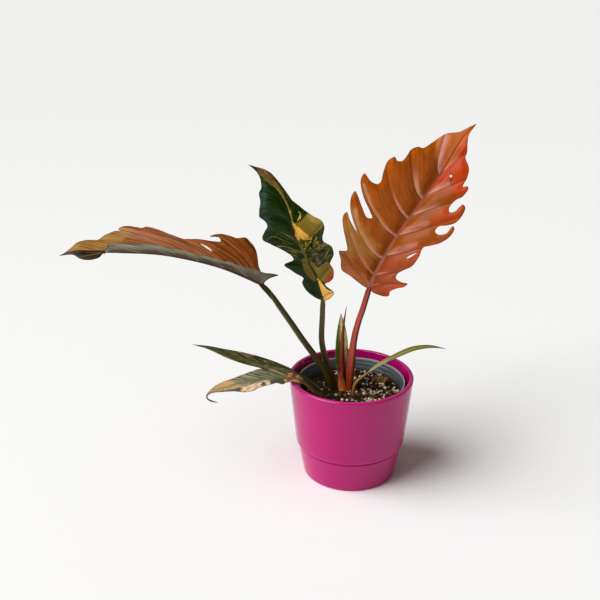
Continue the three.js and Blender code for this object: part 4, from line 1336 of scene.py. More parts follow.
def upper_small_leaf() -> Leaf:
    """The upper of the two small leaves on the left, a narrow dark green lance."""
    marks = (
        Patch("#6E6A3C", (((114, 0), (96, 4), (70, 6), (58, 0), (70, -6), (96, -4)),), soft=0.3,
            ragged=3.2, grain=4.5, drawn_out=1.2, cover=0.85, deepest=0.2),
        Patch("#1E260A", (((84, 0), (64, 7), (30, 7), (4, 2), (4, -6), (40, -10), (70, -7)),), soft=0.4,
            ragged=3.2, grain=5, drawn_out=1.4, cover=0.8, deepest=-1.0),
        Patch("#C0A06C", (((74, 3), (48, 8), (30, 6), (8, 1), (4, -4), (28, -9), (50, -5)),), soft=0.3,
            ragged=3.2, grain=4.5, drawn_out=0.9, cover=0.9, deepest=-1.4),
        Patch("#B08A5E", (((112, -1), (96, -4), (85, -5), (70, -8.5), (72, -10), (88, -8), (104, -4),
            (112, -3)),), soft=0.6, ragged=1, grain=3, cover=0.85),
        Patch("#7A7A4E", (((10, -4), (40, -8), (60, -9), (60, -6), (40, -4), (14, -2)),), soft=0.5,
            ragged=2, grain=5, drawn_out=1.5, cover=0.7, deepest=0.3),
    )
    upper = LeafFinish(
        name="living dark green lance leaf skin", base="#2E360E", streak="#586030", vein="#5A6036",
        furrow_shade="#141E08", rib="#4A5028", margin="#6A5A34", rib_cover=0.6, streak_gap=6.0,
        streak_cover=0.85, streak_edge=0.05, vein_cover=0.35, roughness=0.36, refraction=1.36,
        patches=marks,
    )
    under = LeafFinish(
        name="living underside of the lance leaf", face="under", base="#566244", streak="#66704E",
        vein="#727A54", furrow_shade="#465036", rib="#7A7A50", margin="#7A6A40", streak_gap=1.3,
        roughness=0.5,
    )
    blade = Blade(
        node="upper_small_leaf_blade", slot="small_green_blade",
        midrib=((-60, 1.5, 120.4), (-67, 1, 123.4), (-80, 0, 128.7), (-100, -1, 134.6),
            (-119, -2, 140.3), (-138, -2, 146), (-157.5, -3, 153.7), (-177, -4, 158.5)),
        face_base=(0, -0.5, 0.9), face_tip=(0, -0.5, 0.9),
        folds=(Fold(0, (16, 0), (20, 0)), Fold(1, (10, 0), (20, 0))),
        left=((5, 3.5), (18, 7), (36, 9.5), (54, 9.5), (74, 8), (92, 5), (108, 2.2)),
        right=((6, 2), (20, 3.6), (38, 5.8), (58, 6.6), (78, 5.5), (96, 3), (108, 1.6)),
        left_veins=even_veins(123, 8, 28, 9), right_veins=even_veins(123, 8, 24, 7), upper=upper,
        under=under, grid=0.8, bulge=0.45, wave=0.5, wave_length=18, rib_width=(1.8, 0.4),
        rib_height=0.25, rib_depth=0.8, seed=41,
    )
    finish = StalkFinish(
        name="living dark green stalk skin", face="#2C3C18", back="#2A3616", left="#6A6438",
        right="#26340F", foot="#2E3A16", foot_length=14,
    )
    stalk = Stalk(
        node="upper_small_leaf_petiole", slot="green_stalk",
        points=((-29, 0, 86), (-35, 5.5, 99), (-50, 4, 112)), radii=(1.9, 2.1, 2, 1.9, 1.8),
        finish=finish, facing=(0.4, -0.3, 0.9), groove=0.25,
    )
    return Leaf(blade, stalk)


def strap_leaf() -> Leaf:
    """The narrow yellow-green leaf on the right."""
    marks = (
        Patch("#A8A080", (((4, 0), (4, 4), (24, 5), (28, 0)),), soft=2, ragged=2, grain=3, drawn_out=5,
            cover=0.6),
        Patch("#A46A40", (((88, 3), (100, 3), (100, -3), (88, -3)),), soft=4, cover=0.7),
    )
    skin = LeafFinish(
        name="living yellow-green strap leaf skin", base="#5A6418", streak="#868238", vein="#8C8842",
        furrow_shade="#464E14", rib="#908840", margin="#6E6430", streak_gap=10.0, streak_cover=0.8,
        vein_cover=0.2, furrow_cover=0.15, roughness=0.38, patches=marks,
    )
    blade = Blade(
        node="strap_leaf_blade", slot="strap_blade",
        midrib=((16.5, -9, 125), (31.5, -6, 135), (44.5, -4, 141.5), (54, -2, 145.5), (67, 0, 150.5),
            (80, 1, 152.8), (91.5, 2, 152.6), (105.5, 4, 149.4)),
        face_base=(-0.5, -0.6, 0.8), face_tip=(0, -0.5, 0.9),
        folds=(Fold(0, (28, 0), (28, 0)), Fold(1, (15, 0), (15, 0))),
        left=((7.8, 1.9), (29, 2.9), (50, 3.4), (70, 2.7), (85, 1.4)),
        right=((7.8, 1.9), (29, 3.1), (50, 3.7), (70, 2.9), (85, 1.5)),
        left_veins=even_veins(98, 5, 30, 3.4), right_veins=even_veins(98, 5, 30, 3.7), upper=skin,
        under=skin, grid=0.6, bulge=0.1, wave=0.25, wave_length=16, rib_width=(1.5, 0.3),
        rib_height=0.3, rib_depth=0.6, seed=53,
    )
    finish = StalkFinish(
        name="living olive-brown stalk skin", face="#76682C", back="#6A4A22", left="#7A6428",
        right="#804A24", foot="#8A4A20", foot_length=34,
    )
    stalk = Stalk(
        node="strap_leaf_petiole", slot="orange_stalk",
        points=((1, -3, 86), (3.6, -11, 97), (2.4, -12, 107), (6.5, -11, 116.5)),
        radii=(1.6, 1.9, 1.9, 1.7, 1.6), finish=finish, facing=(-0.6, -0.5, 0.6), groove=0.25,
    )
    return Leaf(blade, stalk)


def young_leaf() -> Leaf:
    """The young leaf that stands behind the rolled one."""
    marks = (
        Patch("#F0E6B4", (((38, 0.5), (76, 0.5), (70, -1.6), (56, -2.2), (44, -1.8)),), soft=0.5,
            ragged=1.2, grain=5, drawn_out=1.5, cover=0.95),
        Patch("#C4B870", (((-3, 1), (50, 1), (58, 4), (40, 9), (10, 9)),), soft=0.5, ragged=2, grain=5,
            drawn_out=2, cover=0.85, deepest=0.4),
        Patch("#C0B080", (((-4, 0), (-4, -9), (8, -9), (16, -7), (8, -2)),), soft=2, ragged=1.5,
            grain=2, cover=0.8),
    )
    skin = LeafFinish(
        name="living young green and cream leaf skin", base="#7A9A1C", streak="#54780E", vein="#96A850",
        furrow_shade="#4A6A10", rib="#90A040", margin="#7A6E30", rib_cover=0.4, streak_gap=5.0,
        streak_cover=0.8, vein_cover=0.2, furrow_cover=0.2, roughness=0.36, patches=marks,
    )
    blade = Blade(
        node="young_leaf_blade", slot="young_blade",
        midrib=((-11.2, 12.5, 113), (-11.6, 13, 125), (-11.4, 13.5, 150), (-11.8, 14.2, 174),
            (-12, 15, 188.5)),
        face_base=(0.05, -1, 0.1), face_tip=(0.05, -1, 0.1),
        folds=(Fold(0, (38, 0), (38, 0)), Fold(1, (30, 0), (30, 0))),
        left=((4.5, 4), (19, 7.5), (36, 8), (53, 6), (66, 3)),
        right=((4.5, 4), (19, 8), (36, 9), (53, 7), (66, 3.5)), left_veins=even_veins(76, 4, 30, 8),
        right_veins=even_veins(76, 4, 30, 9), upper=skin, under=skin, grid=0.7, bulge=0.3, wave=0.4,
        wave_length=20, rib_width=(1.8, 0.4), rib_height=0.25, rib_depth=0.7, seed=61,
    )
    finish = StalkFinish(
        name="living pale green stalk skin", face="#8AA044", back="#86983E", left="#A8A460",
        right="#98A048", foot="#B4A060", foot_length=10,
    )
    stalk = Stalk(
        node="young_leaf_petiole", slot="green_stalk", points=((-9.5, 6, 86), (-11.2, 11.2, 100)),
        radii=(2, 2.1, 2.1, 2), finish=finish, groove=0.2,
    )
    return Leaf(blade, stalk)


def rolled_leaf() -> Stalk:
    """The new leaf, still rolled round itself, with its free edge running up its front."""
    finish = StalkFinish(
        name="living dark red rolled leaf skin", face="#5C0E0C", back="#7C221A", left="#680F0B",
        right="#8C3026", foot="#8C3414", foot_length=34, roughness=0.32,
    )
    return Stalk(
        node="rolled_new_leaf", slot="rolled_leaf",
        points=((-8, 2, 86), (-7.6, 4, 100), (-8.8, 3.4, 118), (-10.4, 3, 137), (-10.4, 2.6, 161),
            (-9.2, 2.2, 183), (-6.8, 2, 201)),
        radii=(3.4, 4.4, 4.8, 4.1, 3.3, 2.5, 1.8, 1.1, 0.3), finish=finish, facing=(-0.75, 0.65, 0.0),
        rolled=0.34,
    )


# The papery sheath


@dataclass
class Sheath:
    """The dry sheath round the foot of the rolled leaf, open towards the upright leaf's stalk."""

    bottom: float = 99.5
    top: float = 129.0
    radius_bottom: float = 6.8
    radius_top: float = 5.2
    wall: float = 0.35
    span: Point2 = (78.0, 292.0)  # degrees round the rolled leaf
    spine: tuple[Point3, ...] = ((-8, 3.8, 99.5), (-8.6, 3.6, 114), (-9.8, 3.2, 129))
    columns: int = 60
    rows: int = 44
    narrowing: float = 0.3  # how much of its width it loses towards its top
    slope: float = 6.0  # how much lower its sides are than its middle
    tear: float = 5.0  # how far its upper edge is torn down
    tears: Point2 = (24.0, 2.2)  # steps of chance round it, and between one tear and the next
    ripple: float = 0.35
    ripples: Point2 = (20.0, 9.0)  # steps of chance round it and up it
    ripple_gap: float = 4.0

    def build(self) -> Piece:
        """Shapes the sheath from a grid, gives it its thickness and dresses it.

        Returns:
            The finished piece.
        """
        bpy.ops.object.select_all(action="DESELECT")
        bpy.ops.mesh.primitive_grid_add(x_subdivisions=self.columns, y_subdivisions=self.rows, size=2)
        piece = bpy.context.object
        piece.name = "leaf_sheath_paper"
        mesh = piece.data
        flat = np.array([v.co[:2] for v in mesh.vertices])
        around, up = ((flat + 1) / 2).T
        # The margins taper in towards the top, and the upper edge is torn into fibres
        angle = np.radians(self.span[0] + (self.span[1] - self.span[0])
                           * (0.5 + (around - 0.5) * (1 - self.narrowing * up**2)))
        steps, gap = self.tears
        torn = wander(np.stack([around * steps, np.zeros(len(flat))], 1), gap, 5)
        height = self.bottom + up * (self.top - self.bottom - self.tear * (0.5 + 0.5 * torn)
                                     - self.slope * np.abs(around - 0.5))
        share = (height - self.bottom) / (self.top - self.bottom)
        radius = self.radius_bottom + (self.radius_top - self.radius_bottom) * share
        ways = np.stack([around * self.ripples[0], up * self.ripples[1]], 1)
        radius = radius + self.ripple * wander(ways, self.ripple_gap, 9)
        centre, _ = Path(self.spine).at(share * Path(self.spine).length)
        points = np.stack([centre[:, 0] + radius * np.cos(angle),
                           centre[:, 1] + radius * np.sin(angle), height], 1)
        mesh.vertices.foreach_set("co", (points * MM).astype(np.float32).ravel())
        only(piece)
        bpy.ops.object.mode_set(mode="EDIT")
        bpy.ops.mesh.select_all(action="SELECT")
        bpy.ops.mesh.flip_normals()
        bpy.ops.object.mode_set(mode="OBJECT")
        solid = piece.modifiers.new("wall", "SOLIDIFY")
        solid.thickness = self.wall * MM
        solid.offset = 0
        bpy.ops.object.modifier_apply(modifier=solid.name)
        bpy.ops.object.shade_smooth()
        piece.data.materials.append(self.finish())
        seat(piece, "papery_sheath", "leaf_sheath")
        return piece

    @staticmethod
    def finish() -> Material:
        """Dried leaf tissue: papery and matte, with fibres 0.7 mm apart, darker towards its top."""
        material, tree, shader = start_material("dried papery sheath", Roughness=0.62)
        where = add(tree, "TexCoord").outputs["Object"]
        fibre = add(tree, "Mapping", {
            "Vector": where, "Scale": (1 / 0.0007, 1 / 0.0007, 1 / 0.02),
        })
        lines = add(tree, "TexNoise", {"Vector": fibre, "Scale": 1.0, "Detail": 3.0})
        share = add(tree, "MapRange", {
            "Value": lines, "From Min": 0.36, "From Max": 0.64,
        })
        # It darkens from 103 to 118 mm above the pot's foot
        risen = add(tree, "MapRange", {
            "Value": add(tree, "SeparateXYZ", {0: where}).outputs[2],
            "From Min": 0.103, "From Max": 0.118,
        })
        low = lay(tree, "#A0441A", [(share, "#D8762C")])
        high = lay(tree, "#4E1208", [(share, "#A04424")])
        feed(tree, shader, {
            "Base Color": lay(tree, low, [(risen, high)]),
            "Normal": add(tree, "Bump", {
                "Strength": 0.6, "Distance": 0.2 * MM, "Height": lines,
            }),
        })
        return material


# Pots


def arc(radius: float, height: float, size: float, start: float, end: float,
        steps: int) -> list[Point2]:
    """Points of a rounding on a turned profile.

    Args:
        radius: The rounding centre's distance from the axis.
        height: Its height.
        size: The rounding's own radius.
        start: The angle that it starts at, in degrees.
        end: The angle that it ends at.
        steps: How many steps it has.

    Returns:
        Pairs of [radius, height].
    """
    angles = [math.radians(start + (end - start) * i / steps) for i in range(steps + 1)]
    return [(radius + size * math.cos(a), height + size * math.sin(a)) for a in angles]


def turned(name: str, profile: Sequence[Point2], sides: int, crease: float = 35.0) -> Piece:
    """Draws a disc out ring by ring along a profile, as on a wheel.

    Args:
        name: The piece's name.
        profile: Pairs of [radius, height], from the rim of one end face to that of the other.
        sides: How many sides it has.
        crease: The angle in degrees past which an edge stays sharp.

    Returns:
        The new closed piece, at the origin.
    """
    radius, height = profile[0]
    bpy.ops.object.select_all(action="DESELECT")
    bpy.ops.mesh.primitive_circle_add(vertices=sides, radius=radius * MM, fill_type="NGON",
                                      location=(0, 0, height * MM))
    piece = bpy.context.object
    piece.name = name
    bpy.ops.object.transform_apply(location=True, rotation=False, scale=False)
    bpy.ops.object.mode_set(mode="EDIT")
    bpy.ops.mesh.select_all(action="SELECT")
    for wide, high in profile[1:]:
        bpy.ops.mesh.extrude_region_move(
            TRANSFORM_OT_translate={"value": (0, 0, (high - height) * MM)})
        bpy.ops.transform.resize(value=(wide / radius, wide / radius, 1),
                                 center_override=(0, 0, high * MM))
        radius, height = wide, high
    bpy.ops.mesh.select_all(action="SELECT")
    bpy.ops.mesh.normals_make_consistent(inside=False)
    bpy.ops.object.mode_set(mode="OBJECT")
    bpy.ops.object.shade_smooth_by_angle(angle=math.radians(crease))
    return piece


@dataclass
class CoverPot:
    """The glazed pot: slip-cast, with a waist two thirds down and a fine groove below it."""

    height: float = 120.0
    rim_radius: float = 70.0
    wall: float = 5.0
    lip: float = 2.2
    inner_lip: float = 1.6
    waist_height: float = 40.0
    waist_radius: float = 62.2
    waist_rise: float = 2.0
    waist_step: float = 0.8
    band_radius: float = 59.6
    groove_drop: float = 2.6
    groove_half: float = 0.8
    groove_depth: float = 0.4
    base_radius: float = 53.4
    base_rounding: float = 2.5
    floor: float = 6.0
    floor_fillet: float = 4.0
    sides: int = 180

    def profile(self) -> list[Point2]:
        """The wall's outline from the foot, over the lip, to the inner floor.

        The small added sizes are draft and hold the shading of the flat walls.

        Returns:
            Pairs of [radius, height].
        """
        groove = self.waist_height - self.groove_drop
        lip_centre = self.rim_radius - self.lip
        inner_centre = self.rim_radius - self.wall + self.inner_lip
        inner_waist = self.waist_radius - self.wall
        floor_radius = self.base_radius - self.wall
        return [
            (self.base_radius * 0.5, 0),
            *arc(self.base_radius - self.base_rounding, self.base_rounding, self.base_rounding,
                 -90, 0, 8),
            (self.band_radius - 0.1, groove - self.groove_half - 0.5),
            (self.band_radius, groove - self.groove_half),
            (self.band_radius - self.groove_depth, groove),
            (self.band_radius, groove + self.groove_half),
            *self.blend((self.waist_radius - self.waist_step, self.waist_height - 0.6),
                        (self.waist_radius, self.waist_height + self.waist_rise), 5),
            (self.waist_radius + 0.15, self.waist_height + self.waist_rise + 1.5),
            (lip_centre + self.lip * 0.995 - 0.2, self.height - self.lip - 2),
            *arc(lip_centre, self.height - self.lip, self.lip, 0, 90, 10),
            *arc(inner_centre, self.height - self.inner_lip, self.inner_lip, 90, 180, 7),
            (inner_waist + 0.2, self.waist_height + 1),
            (inner_waist - 0.1, self.waist_height - 1),
            *arc(floor_radius - self.floor_fillet, self.floor + self.floor_fillet,
                 self.floor_fillet, 0, -90, 6),
        ]

    @staticmethod
    def blend(start: Point2, end: Point2, steps: int) -> list[Point2]:
        """Points of an S-shaped change from one radius and height to another."""
        return [
            (start[0] + (end[0] - start[0]) * float(ease(i / steps, 0, 1)),
             start[1] + (end[1] - start[1]) * i / steps)
            for i in range(steps + 1)
        ]

    def build(self) -> Piece:
        """Turns the pot and dresses it.

        Returns:
            The finished piece.
        """
        piece = turned("glazed_cover_pot", self.profile(), self.sides)
        piece.data.materials.append(self.glaze())
        seat(piece, "magenta_glaze", "cover_pot")
        return piece

    @staticmethod
    def glaze() -> Material:
        """Glazed earthenware: a dipped, fired coloured glaze.

        It gives the eye a deep saturated colour under a clear sharp gloss, slightly wavy where the
        glaze ran, and a little paler and thinner on the sharp edge of the lip.

        Returns:
            The material.
        """
        material, tree, shader = start_material(
            "magenta glazed earthenware", IOR=1.42, Roughness=0.07)
        where = add(tree, "TexCoord").outputs["Object"]
        # Glaze thickness changes over about 25 mm, and its waves are about 9 mm long
        cloud, waves = (
            add(tree, "TexNoise", {"Vector": where, "Scale": 1 / size, "Detail": detail})
            for size, detail in ((0.025, 2.0), (0.009, 1.0))
        )
        # It runs thin over the last 1.2 mm of the lip
        thin = add(tree, "MapRange", {
            "Value": add(tree, "SeparateXYZ", {0: where}).outputs[2],
            "From Min": 0.1188, "From Max": 0.12, "To Max": 0.35,
        })
        feed(tree, shader, {
            "Base Color": lay(tree, "#B00264", [(cloud, "#B80A6E"), (thin, "#C8488C")]),
            "Normal": add(tree, "Bump", {
                "Strength": 0.25, "Distance": 0.12 * MM, "Height": waves,
            }),
        })
        return material


@dataclass
class NurseryPot:
    """The grey plastic pot inside, with an upright rim band and two stepped rings."""

    bottom: float = 6.3
    rim_height: float = 112.8
    rim_radius: float = 60.6
    rim_band: float = 9.0
    rim_overhang: float = 2.6
    rim_draft: float = 0.3
    wall: float = 1.2
    ring_drop: float = 5.0
    ring_step: float = 1.4
    ring_slope: float = 0.8
    ring_draft: float = 0.2
    base_radius: float = 43.0
    floor: float = 1.6
    drain_holes: int = 6
    drain_radius: float = 4.0
    drain_circle: float = 28.0
    edge: float = 0.3  # rounding of the moulded edges
    sides: int = 168

    def profile(self) -> list[Point2]:
        """The wall's outline from the underside, over the rim, to the inner floor."""
        wall_top = self.rim_radius - self.rim_overhang
        band_foot = self.rim_height - self.rim_band
        first = self.rim_height - self.ring_drop
        second = first - self.ring_drop
        lip = self.rim_radius - self.wall
        step = lip - self.ring_step
        e = self.edge
        return [
            (self.base_radius * 0.4, self.bottom), (self.base_radius - 0.8, self.bottom),
            (self.base_radius, self.bottom + 0.8), (wall_top - 0.1, band_foot - 0.6),
            (wall_top, band_foot), (self.rim_radius - self.rim_draft - e, band_foot),
            (self.rim_radius - self.rim_draft, band_foot + e),
            (self.rim_radius, self.rim_height - e),
            (self.rim_radius - e * 0.3, self.rim_height - e * 0.3),
            (self.rim_radius - e, self.rim_height), (lip + e, self.rim_height),
            (lip + e * 0.3, self.rim_height - e * 0.3), (lip, self.rim_height - e),
            (lip - self.ring_draft, first + e), (lip - self.ring_draft - e, first - 0.1),
            (step + e, first - self.ring_slope + 0.1), (step, first - self.ring_slope - e),
            (step - self.ring_draft, second + e),
            (step - self.ring_draft - e, second - 0.1),
            (wall_top - self.wall + e, second - self.ring_slope + 0.1),
            (wall_top - self.wall, second - self.ring_slope - e),
            (self.base_radius - self.wall, self.bottom + self.floor + 1),
            (self.base_radius - self.wall - 1, self.bottom + self.floor),
            (self.base_radius * 0.4, self.bottom + self.floor),
        ]

    def build(self) -> Piece:
        """Turns the pot, drills its drain holes and dresses it.

        Returns:
            The finished piece.
        """
        piece = turned("grey_nursery_pot", self.profile(), self.sides, crease=50)
        for number in range(self.drain_holes):
            angle = 2 * math.pi * number / self.drain_holes
            bpy.ops.mesh.primitive_cylinder_add(
                vertices=32, radius=self.drain_radius * MM, depth=4 * self.floor * MM,
                location=(self.drain_circle * MM * math.cos(angle),
                          self.drain_circle * MM * math.sin(angle), self.bottom * MM))
            drill = bpy.context.object
            only(piece)
            hole = piece.modifiers.new("drain hole", "BOOLEAN")
            hole.operation = "DIFFERENCE"
            hole.object = drill
            bpy.ops.object.modifier_apply(modifier=hole.name)
            bpy.data.objects.remove(drill)
        piece.data.materials.append(self.plastic())
        seat(piece, "grey_nursery_plastic", "nursery_pot")
        return piece

    @staticmethod
    def plastic() -> Material:
        """Injection-moulded polypropylene: a satin grey-blue with a fine grain of about 0.8 mm.

        The top of the rim is painted paler as a highlight, and the wall is darker near the mix, with
        an edge and a roughness that wander over about 12 mm.

        Returns:
            The material.
        """
        material, tree, shader = start_material("grey moulded polypropylene", IOR=1.49)
        where = add(tree, "TexCoord").outputs["Object"]
        height = add(tree, "SeparateXYZ", {0: where}).outputs[2]
        blotches, grain = (
            add(tree, "TexNoise", {"Vector": where, "Scale": 1 / size, "Detail": detail})
            for size, detail in ((0.012, 5.0), (0.0008, 2.0))
        )
        # Painted highlight: the top of the rim is paler grey
        painted_rim_highlight = add(tree, "MapRange", {
            "Value": height, "From Min": 0.1095, "From Max": 0.1118,
        }, interpolation_type="SMOOTHSTEP")
        # The darker part ends from 96 to 108 mm up, and fades over 6 mm
        ends = add(tree, "Math", {0: blotches, 1: 0.012, 2: 0.096},
                   operation="MULTIPLY_ADD")
        below = add(tree, "Math", {0: ends, 1: height}, operation="SUBTRACT")
        darker_low = add(tree, "MapRange", {
            "Value": below, "From Min": -0.003, "From Max": 0.003, "To Max": 0.85,
        }, interpolation_type="SMOOTHSTEP")
        feed(tree, shader, {
            "Base Color": lay(tree, "#424B50", [(painted_rim_highlight, "#9A9C96"), (darker_low, "#221C18")]),
            "Roughness": add(tree, "MapRange", {
                "Value": blotches, "To Min": 0.34, "To Max": 0.56,
            }),
            "Normal": add(tree, "Bump", {
                "Strength": 0.3, "Distance": 0.05 * MM, "Height": grain,
            }),
        })
        return material


# The potting mix and what lies in it


class Grain(Enum):
    """The loose pieces in the mix."""

    PERLITE = "perlite_grains"
    BARK = "bark_chips"
    LUMP = "bark_lump"
    CRUMB = "mix_crumbs"


@dataclass(frozen=True)
class Scatter:
    """How many loose pieces of one kind lie on the mix, and what they are like."""

    kind: Grain
    count: int
    sizes: Point2  # smallest and largest
    shape: Point3  # length, width and thickness as shares of the size
    detail: int  # how often the starting body is divided
    rough: float  # how lumpy it is
    sunk: float  # how deep it lies, as a share of its size
    left_share: float  # how many lie on the left, compared with the right
    cluster: float  # between one cluster of them and the next
    heap: tuple[Point2, float] | None = None  # the centre and radius of one heap of them


@dataclass
class PottingMix:
    """The dark mix, mounded a little, with perlite, bark and crumbs on it."""

    bottom: float = 8.2
    foot_radius: float = 41.2
    edge_radius: float = 55.6
    edge_height: float = 98.2
    crown_height: float = 99.6
    mound: float = 26.0
    lumps: tuple[Point2, ...] = ((11.0, 1.3), (4.5, 1.0), (2.0, 0.7))  # size and height
    ring_gap: float = 0.9
    last_ring: float = 0.8
    sides: int = 300
    grain_lumps: float = 0.45  # between one lump of a loose piece and the next, in its sizes
    tip: float = 0.5  # how far a loose piece is tipped, in radians
    shrink: Point2 = (0.7, 1.0)
    open_side: Point2 = (-22.0, 14.0)  # from where to where, left to right, loose pieces thicken
    crowding: Point2 = (-0.35, 0.3)  # values of chance between which a cluster begins and is full
    scatters: tuple[Scatter, ...] = (
        Scatter(Grain.PERLITE, 240, (1.6, 5.0), (1, 0.85, 0.75), 2, 0.35, 0.15, 0.12, 7.0),
        Scatter(Grain.BARK, 190, (3.0, 8.5), (1, 0.5, 0.28), 2, 0.25, 0.05, 0.5, 14.0),
        Scatter(Grain.LUMP, 60, (6.0, 10.0), (0.36, 0.3, 1), 2, 0.2, 0.1, 1.0, 9.0,
                heap=((35.0, 21.0), 9.5)),
        Scatter(Grain.CRUMB, 2200, (1.2, 3.4), (1, 0.8, 0.6), 1, 0.4, 0.1, 1.0, 5.0),
    )
    seed: int = 7

    def surface(self, points: np.ndarray) -> np.ndarray:
        """The height of the mix's surface at flat points."""
        radius = np.linalg.norm(points, axis=1)
        height = self.edge_height + (self.crown_height - self.edge_height) * ease(
            radius, self.edge_radius, self.mound)
        for number, (size, tall) in enumerate(self.lumps):
            height = height + tall * wander(points, size, 17 + number)
        return height

    def build(self) -> None:
        """Builds the mix and everything that lies on it."""
        rings = np.arange(self.edge_radius, self.last_ring, -self.ring_gap)
        profile = [(self.foot_radius, self.bottom), (self.edge_radius, self.edge_height - 4),
                   *[(float(radius), self.edge_height) for radius in rings]]
        piece = turned("potting_mix_body", profile, self.sides, crease=180)
        mesh = piece.data
        points = np.array([v.co for v in mesh.vertices]) / MM
        top = points[:, 2] > self.edge_height - 1
        points[top, 2] = self.surface(points[top, :2])
        mesh.vertices.foreach_set("co", (points * MM).astype(np.float32).ravel())
        mesh.update()
        piece.data.materials.append(self.soil("moist bark and coir mix", "#0E0805", "#2E1C0E", 0.9))
        seat(piece, "potting_mix", "potting_mix")
        draw = random.Random(self.seed)
        finishes = {
            Grain.PERLITE: self.perlite(),
            Grain.BARK: self.soil("composted bark chips", "#2E1A0C", "#7A5428", 0.8),
            Grain.LUMP: self.soil("fibrous lump of bark", "#4A2A10", "#B07E40", 0.8),
            Grain.CRUMB: self.soil("crumbs of mix", "#120A05", "#4A2E16", 0.9),
        }
        for scatter in self.scatters:
            self.strew(scatter, draw, finishes[scatter.kind])

    def strew(self, scatter: Scatter, draw: random.Random, finish: Material) -> None:
        """Models one loose piece and lays copies of it on the mix, as one mesh.

        Args:
            scatter: What the pieces are like.
            draw: The seeded source of chance.
            finish: Their material.
        """
        bpy.ops.mesh.primitive_ico_sphere_add(subdivisions=scatter.detail, radius=0.5)
        model = bpy.context.object
        body = np.array([v.co for v in model.data.vertices])
        corners = np.array([tuple(f.vertices) for f in model.data.polygons])
        bpy.data.objects.remove(model)
        spots = self.spots(scatter, draw)
        heights = self.surface(spots)
        points, faces, tones = [], [], []
        for number, (spot, height) in enumerate(zip(spots, heights)):
            size = draw.uniform(*scatter.sizes) * draw.uniform(*self.shrink)
            lumps = wander(body, self.grain_lumps, number * 3.7)
            lumpy = body * (1 + scatter.rough * lumps)[:, None]
            tips = [draw.uniform(-self.tip, self.tip) for _ in range(2)]
            turn = np.array(Euler((*tips, draw.uniform(0, 6.3))).to_matrix())
            placed = (lumpy * scatter.shape * size) @ turn.T
            placed += (*spot, height + size * (scatter.shape[2] / 2 - scatter.sunk))
            faces.append(corners + number * len(body))
            points.append(placed)
            tones.append(np.full(len(body), draw.random()))
        piece = mesh_piece(scatter.kind.value, np.vstack(points), np.vstack(faces).tolist())
        if scatter.kind in (Grain.BARK, Grain.LUMP):
            bpy.ops.object.shade_flat()
        paint(piece, "tone", np.concatenate(tones))
        piece.data.materials.append(finish)
        seat(piece, "potting_mix")

    def spots(self, scatter: Scatter, draw: random.Random) -> np.ndarray:
        """Picks places on the mix, fewer on the left where the kind says so.

        Args:
            scatter: What the pieces are like.
            draw: The seeded source of chance.

        Returns:
            Flat points.
        """
        found: list[Point2] = []
        limit = self.edge_radius - 1.0
        if scatter.heap:
            (x, y), radius = scatter.heap
            for _ in range(scatter.count):
                angle, out = draw.uniform(0, 2 * math.pi), radius * math.sqrt(draw.random())
                found.append((x + out * math.cos(angle), y + out * 0.7 * math.sin(angle)))
            return np.array(found)
        while len(found) < scatter.count:
            x, y = draw.uniform(-limit, limit), draw.uniform(-limit, limit)
            side = float(ease(x, *self.open_side))
            likely = scatter.left_share + (1 - scatter.left_share) * side
            crowd = wander(np.array([(x, y)]), scatter.cluster, 40.5)[0]
            likely *= float(ease(crowd, *self.crowding))
            if math.hypot(x, y) < limit and draw.random() < likely:
                found.append((x, y))
        return np.array(found)

    @staticmethod
    def soil(name: str, dark: str, light: str, roughness: float) -> Material:
        """Moist organic matter: matte, dark brown, speckled over about 1 mm.

        Args:
            name: The material's name.
            dark: The darker tone.
            light: The lighter tone.
            roughness: The roughness.

        Returns:
            The material.
        """
        material, tree, shader = start_material(name, Roughness=roughness, Specular_IOR_Level=0.2)
        where = add(tree, "TexCoord").outputs["Object"]
        tone = add(tree, "Attribute", attribute_name="tone").outputs["Fac"]
        specks = add(tree, "TexNoise", {
            "Vector": where, "Scale": 1 / 0.0011, "Detail": 4.0, "Roughness": 0.7,
        })
        both = add(tree, "Math", {0: tone, 1: 0.3, 2: specks}, operation="MULTIPLY_ADD")
        share = add(tree, "MapRange", {
            "Value": both, "From Min": 0.42, "From Max": 0.85,
        })
        feed(tree, shader, {
            "Base Color": lay(tree, dark, [(share, light)]),
            "Normal": add(tree, "Bump", {
                "Strength": 0.8, "Distance": 0.5 * MM, "Height": specks,
            }),
        })
        return material

    @staticmethod
    def perlite() -> Material:
        """Expanded perlite: crumbly, matte, white stained cream by the mix, with 0.5 mm pores."""
        material, tree, shader = start_material("expanded perlite", Roughness=0.85)
        where = add(tree, "TexCoord").outputs["Object"]
        tone = add(tree, "Attribute", attribute_name="tone").outputs["Fac"]
        pores = add(tree, "TexNoise", {
            "Vector": where, "Scale": 1 / 0.0005, "Detail": 2.0,
        })
        stained = add(tree, "MapRange", {
            "Value": pores, "From Min": 0.4, "From Max": 0.6, "To Min": 0.75, "To Max": 1.05,
        })
        feed(tree, shader, {
            "Base Color": add(tree, "HueSaturation", {
                "Value": stained, "Color": lay(tree, "#8C744E", [(tone, "#E8DCC0")]),
            }),
            "Normal": add(tree, "Bump", {
                "Strength": 0.7, "Distance": 0.2 * MM, "Height": pores,
            }),
        })
        return material


def dress_stem() -> None:
    """Gives the buried stem and roots, which keep their CAD form, a woody skin."""
    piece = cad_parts["stem_and_roots"]
    bark = PottingMix.soil("woody stem and root skin", "#5A4226", "#9A7A4C", 0.8)
    piece.data.materials.clear()
    piece.data.materials.append(bark)
    log.info("%s: dressed", piece.name)


# The studio


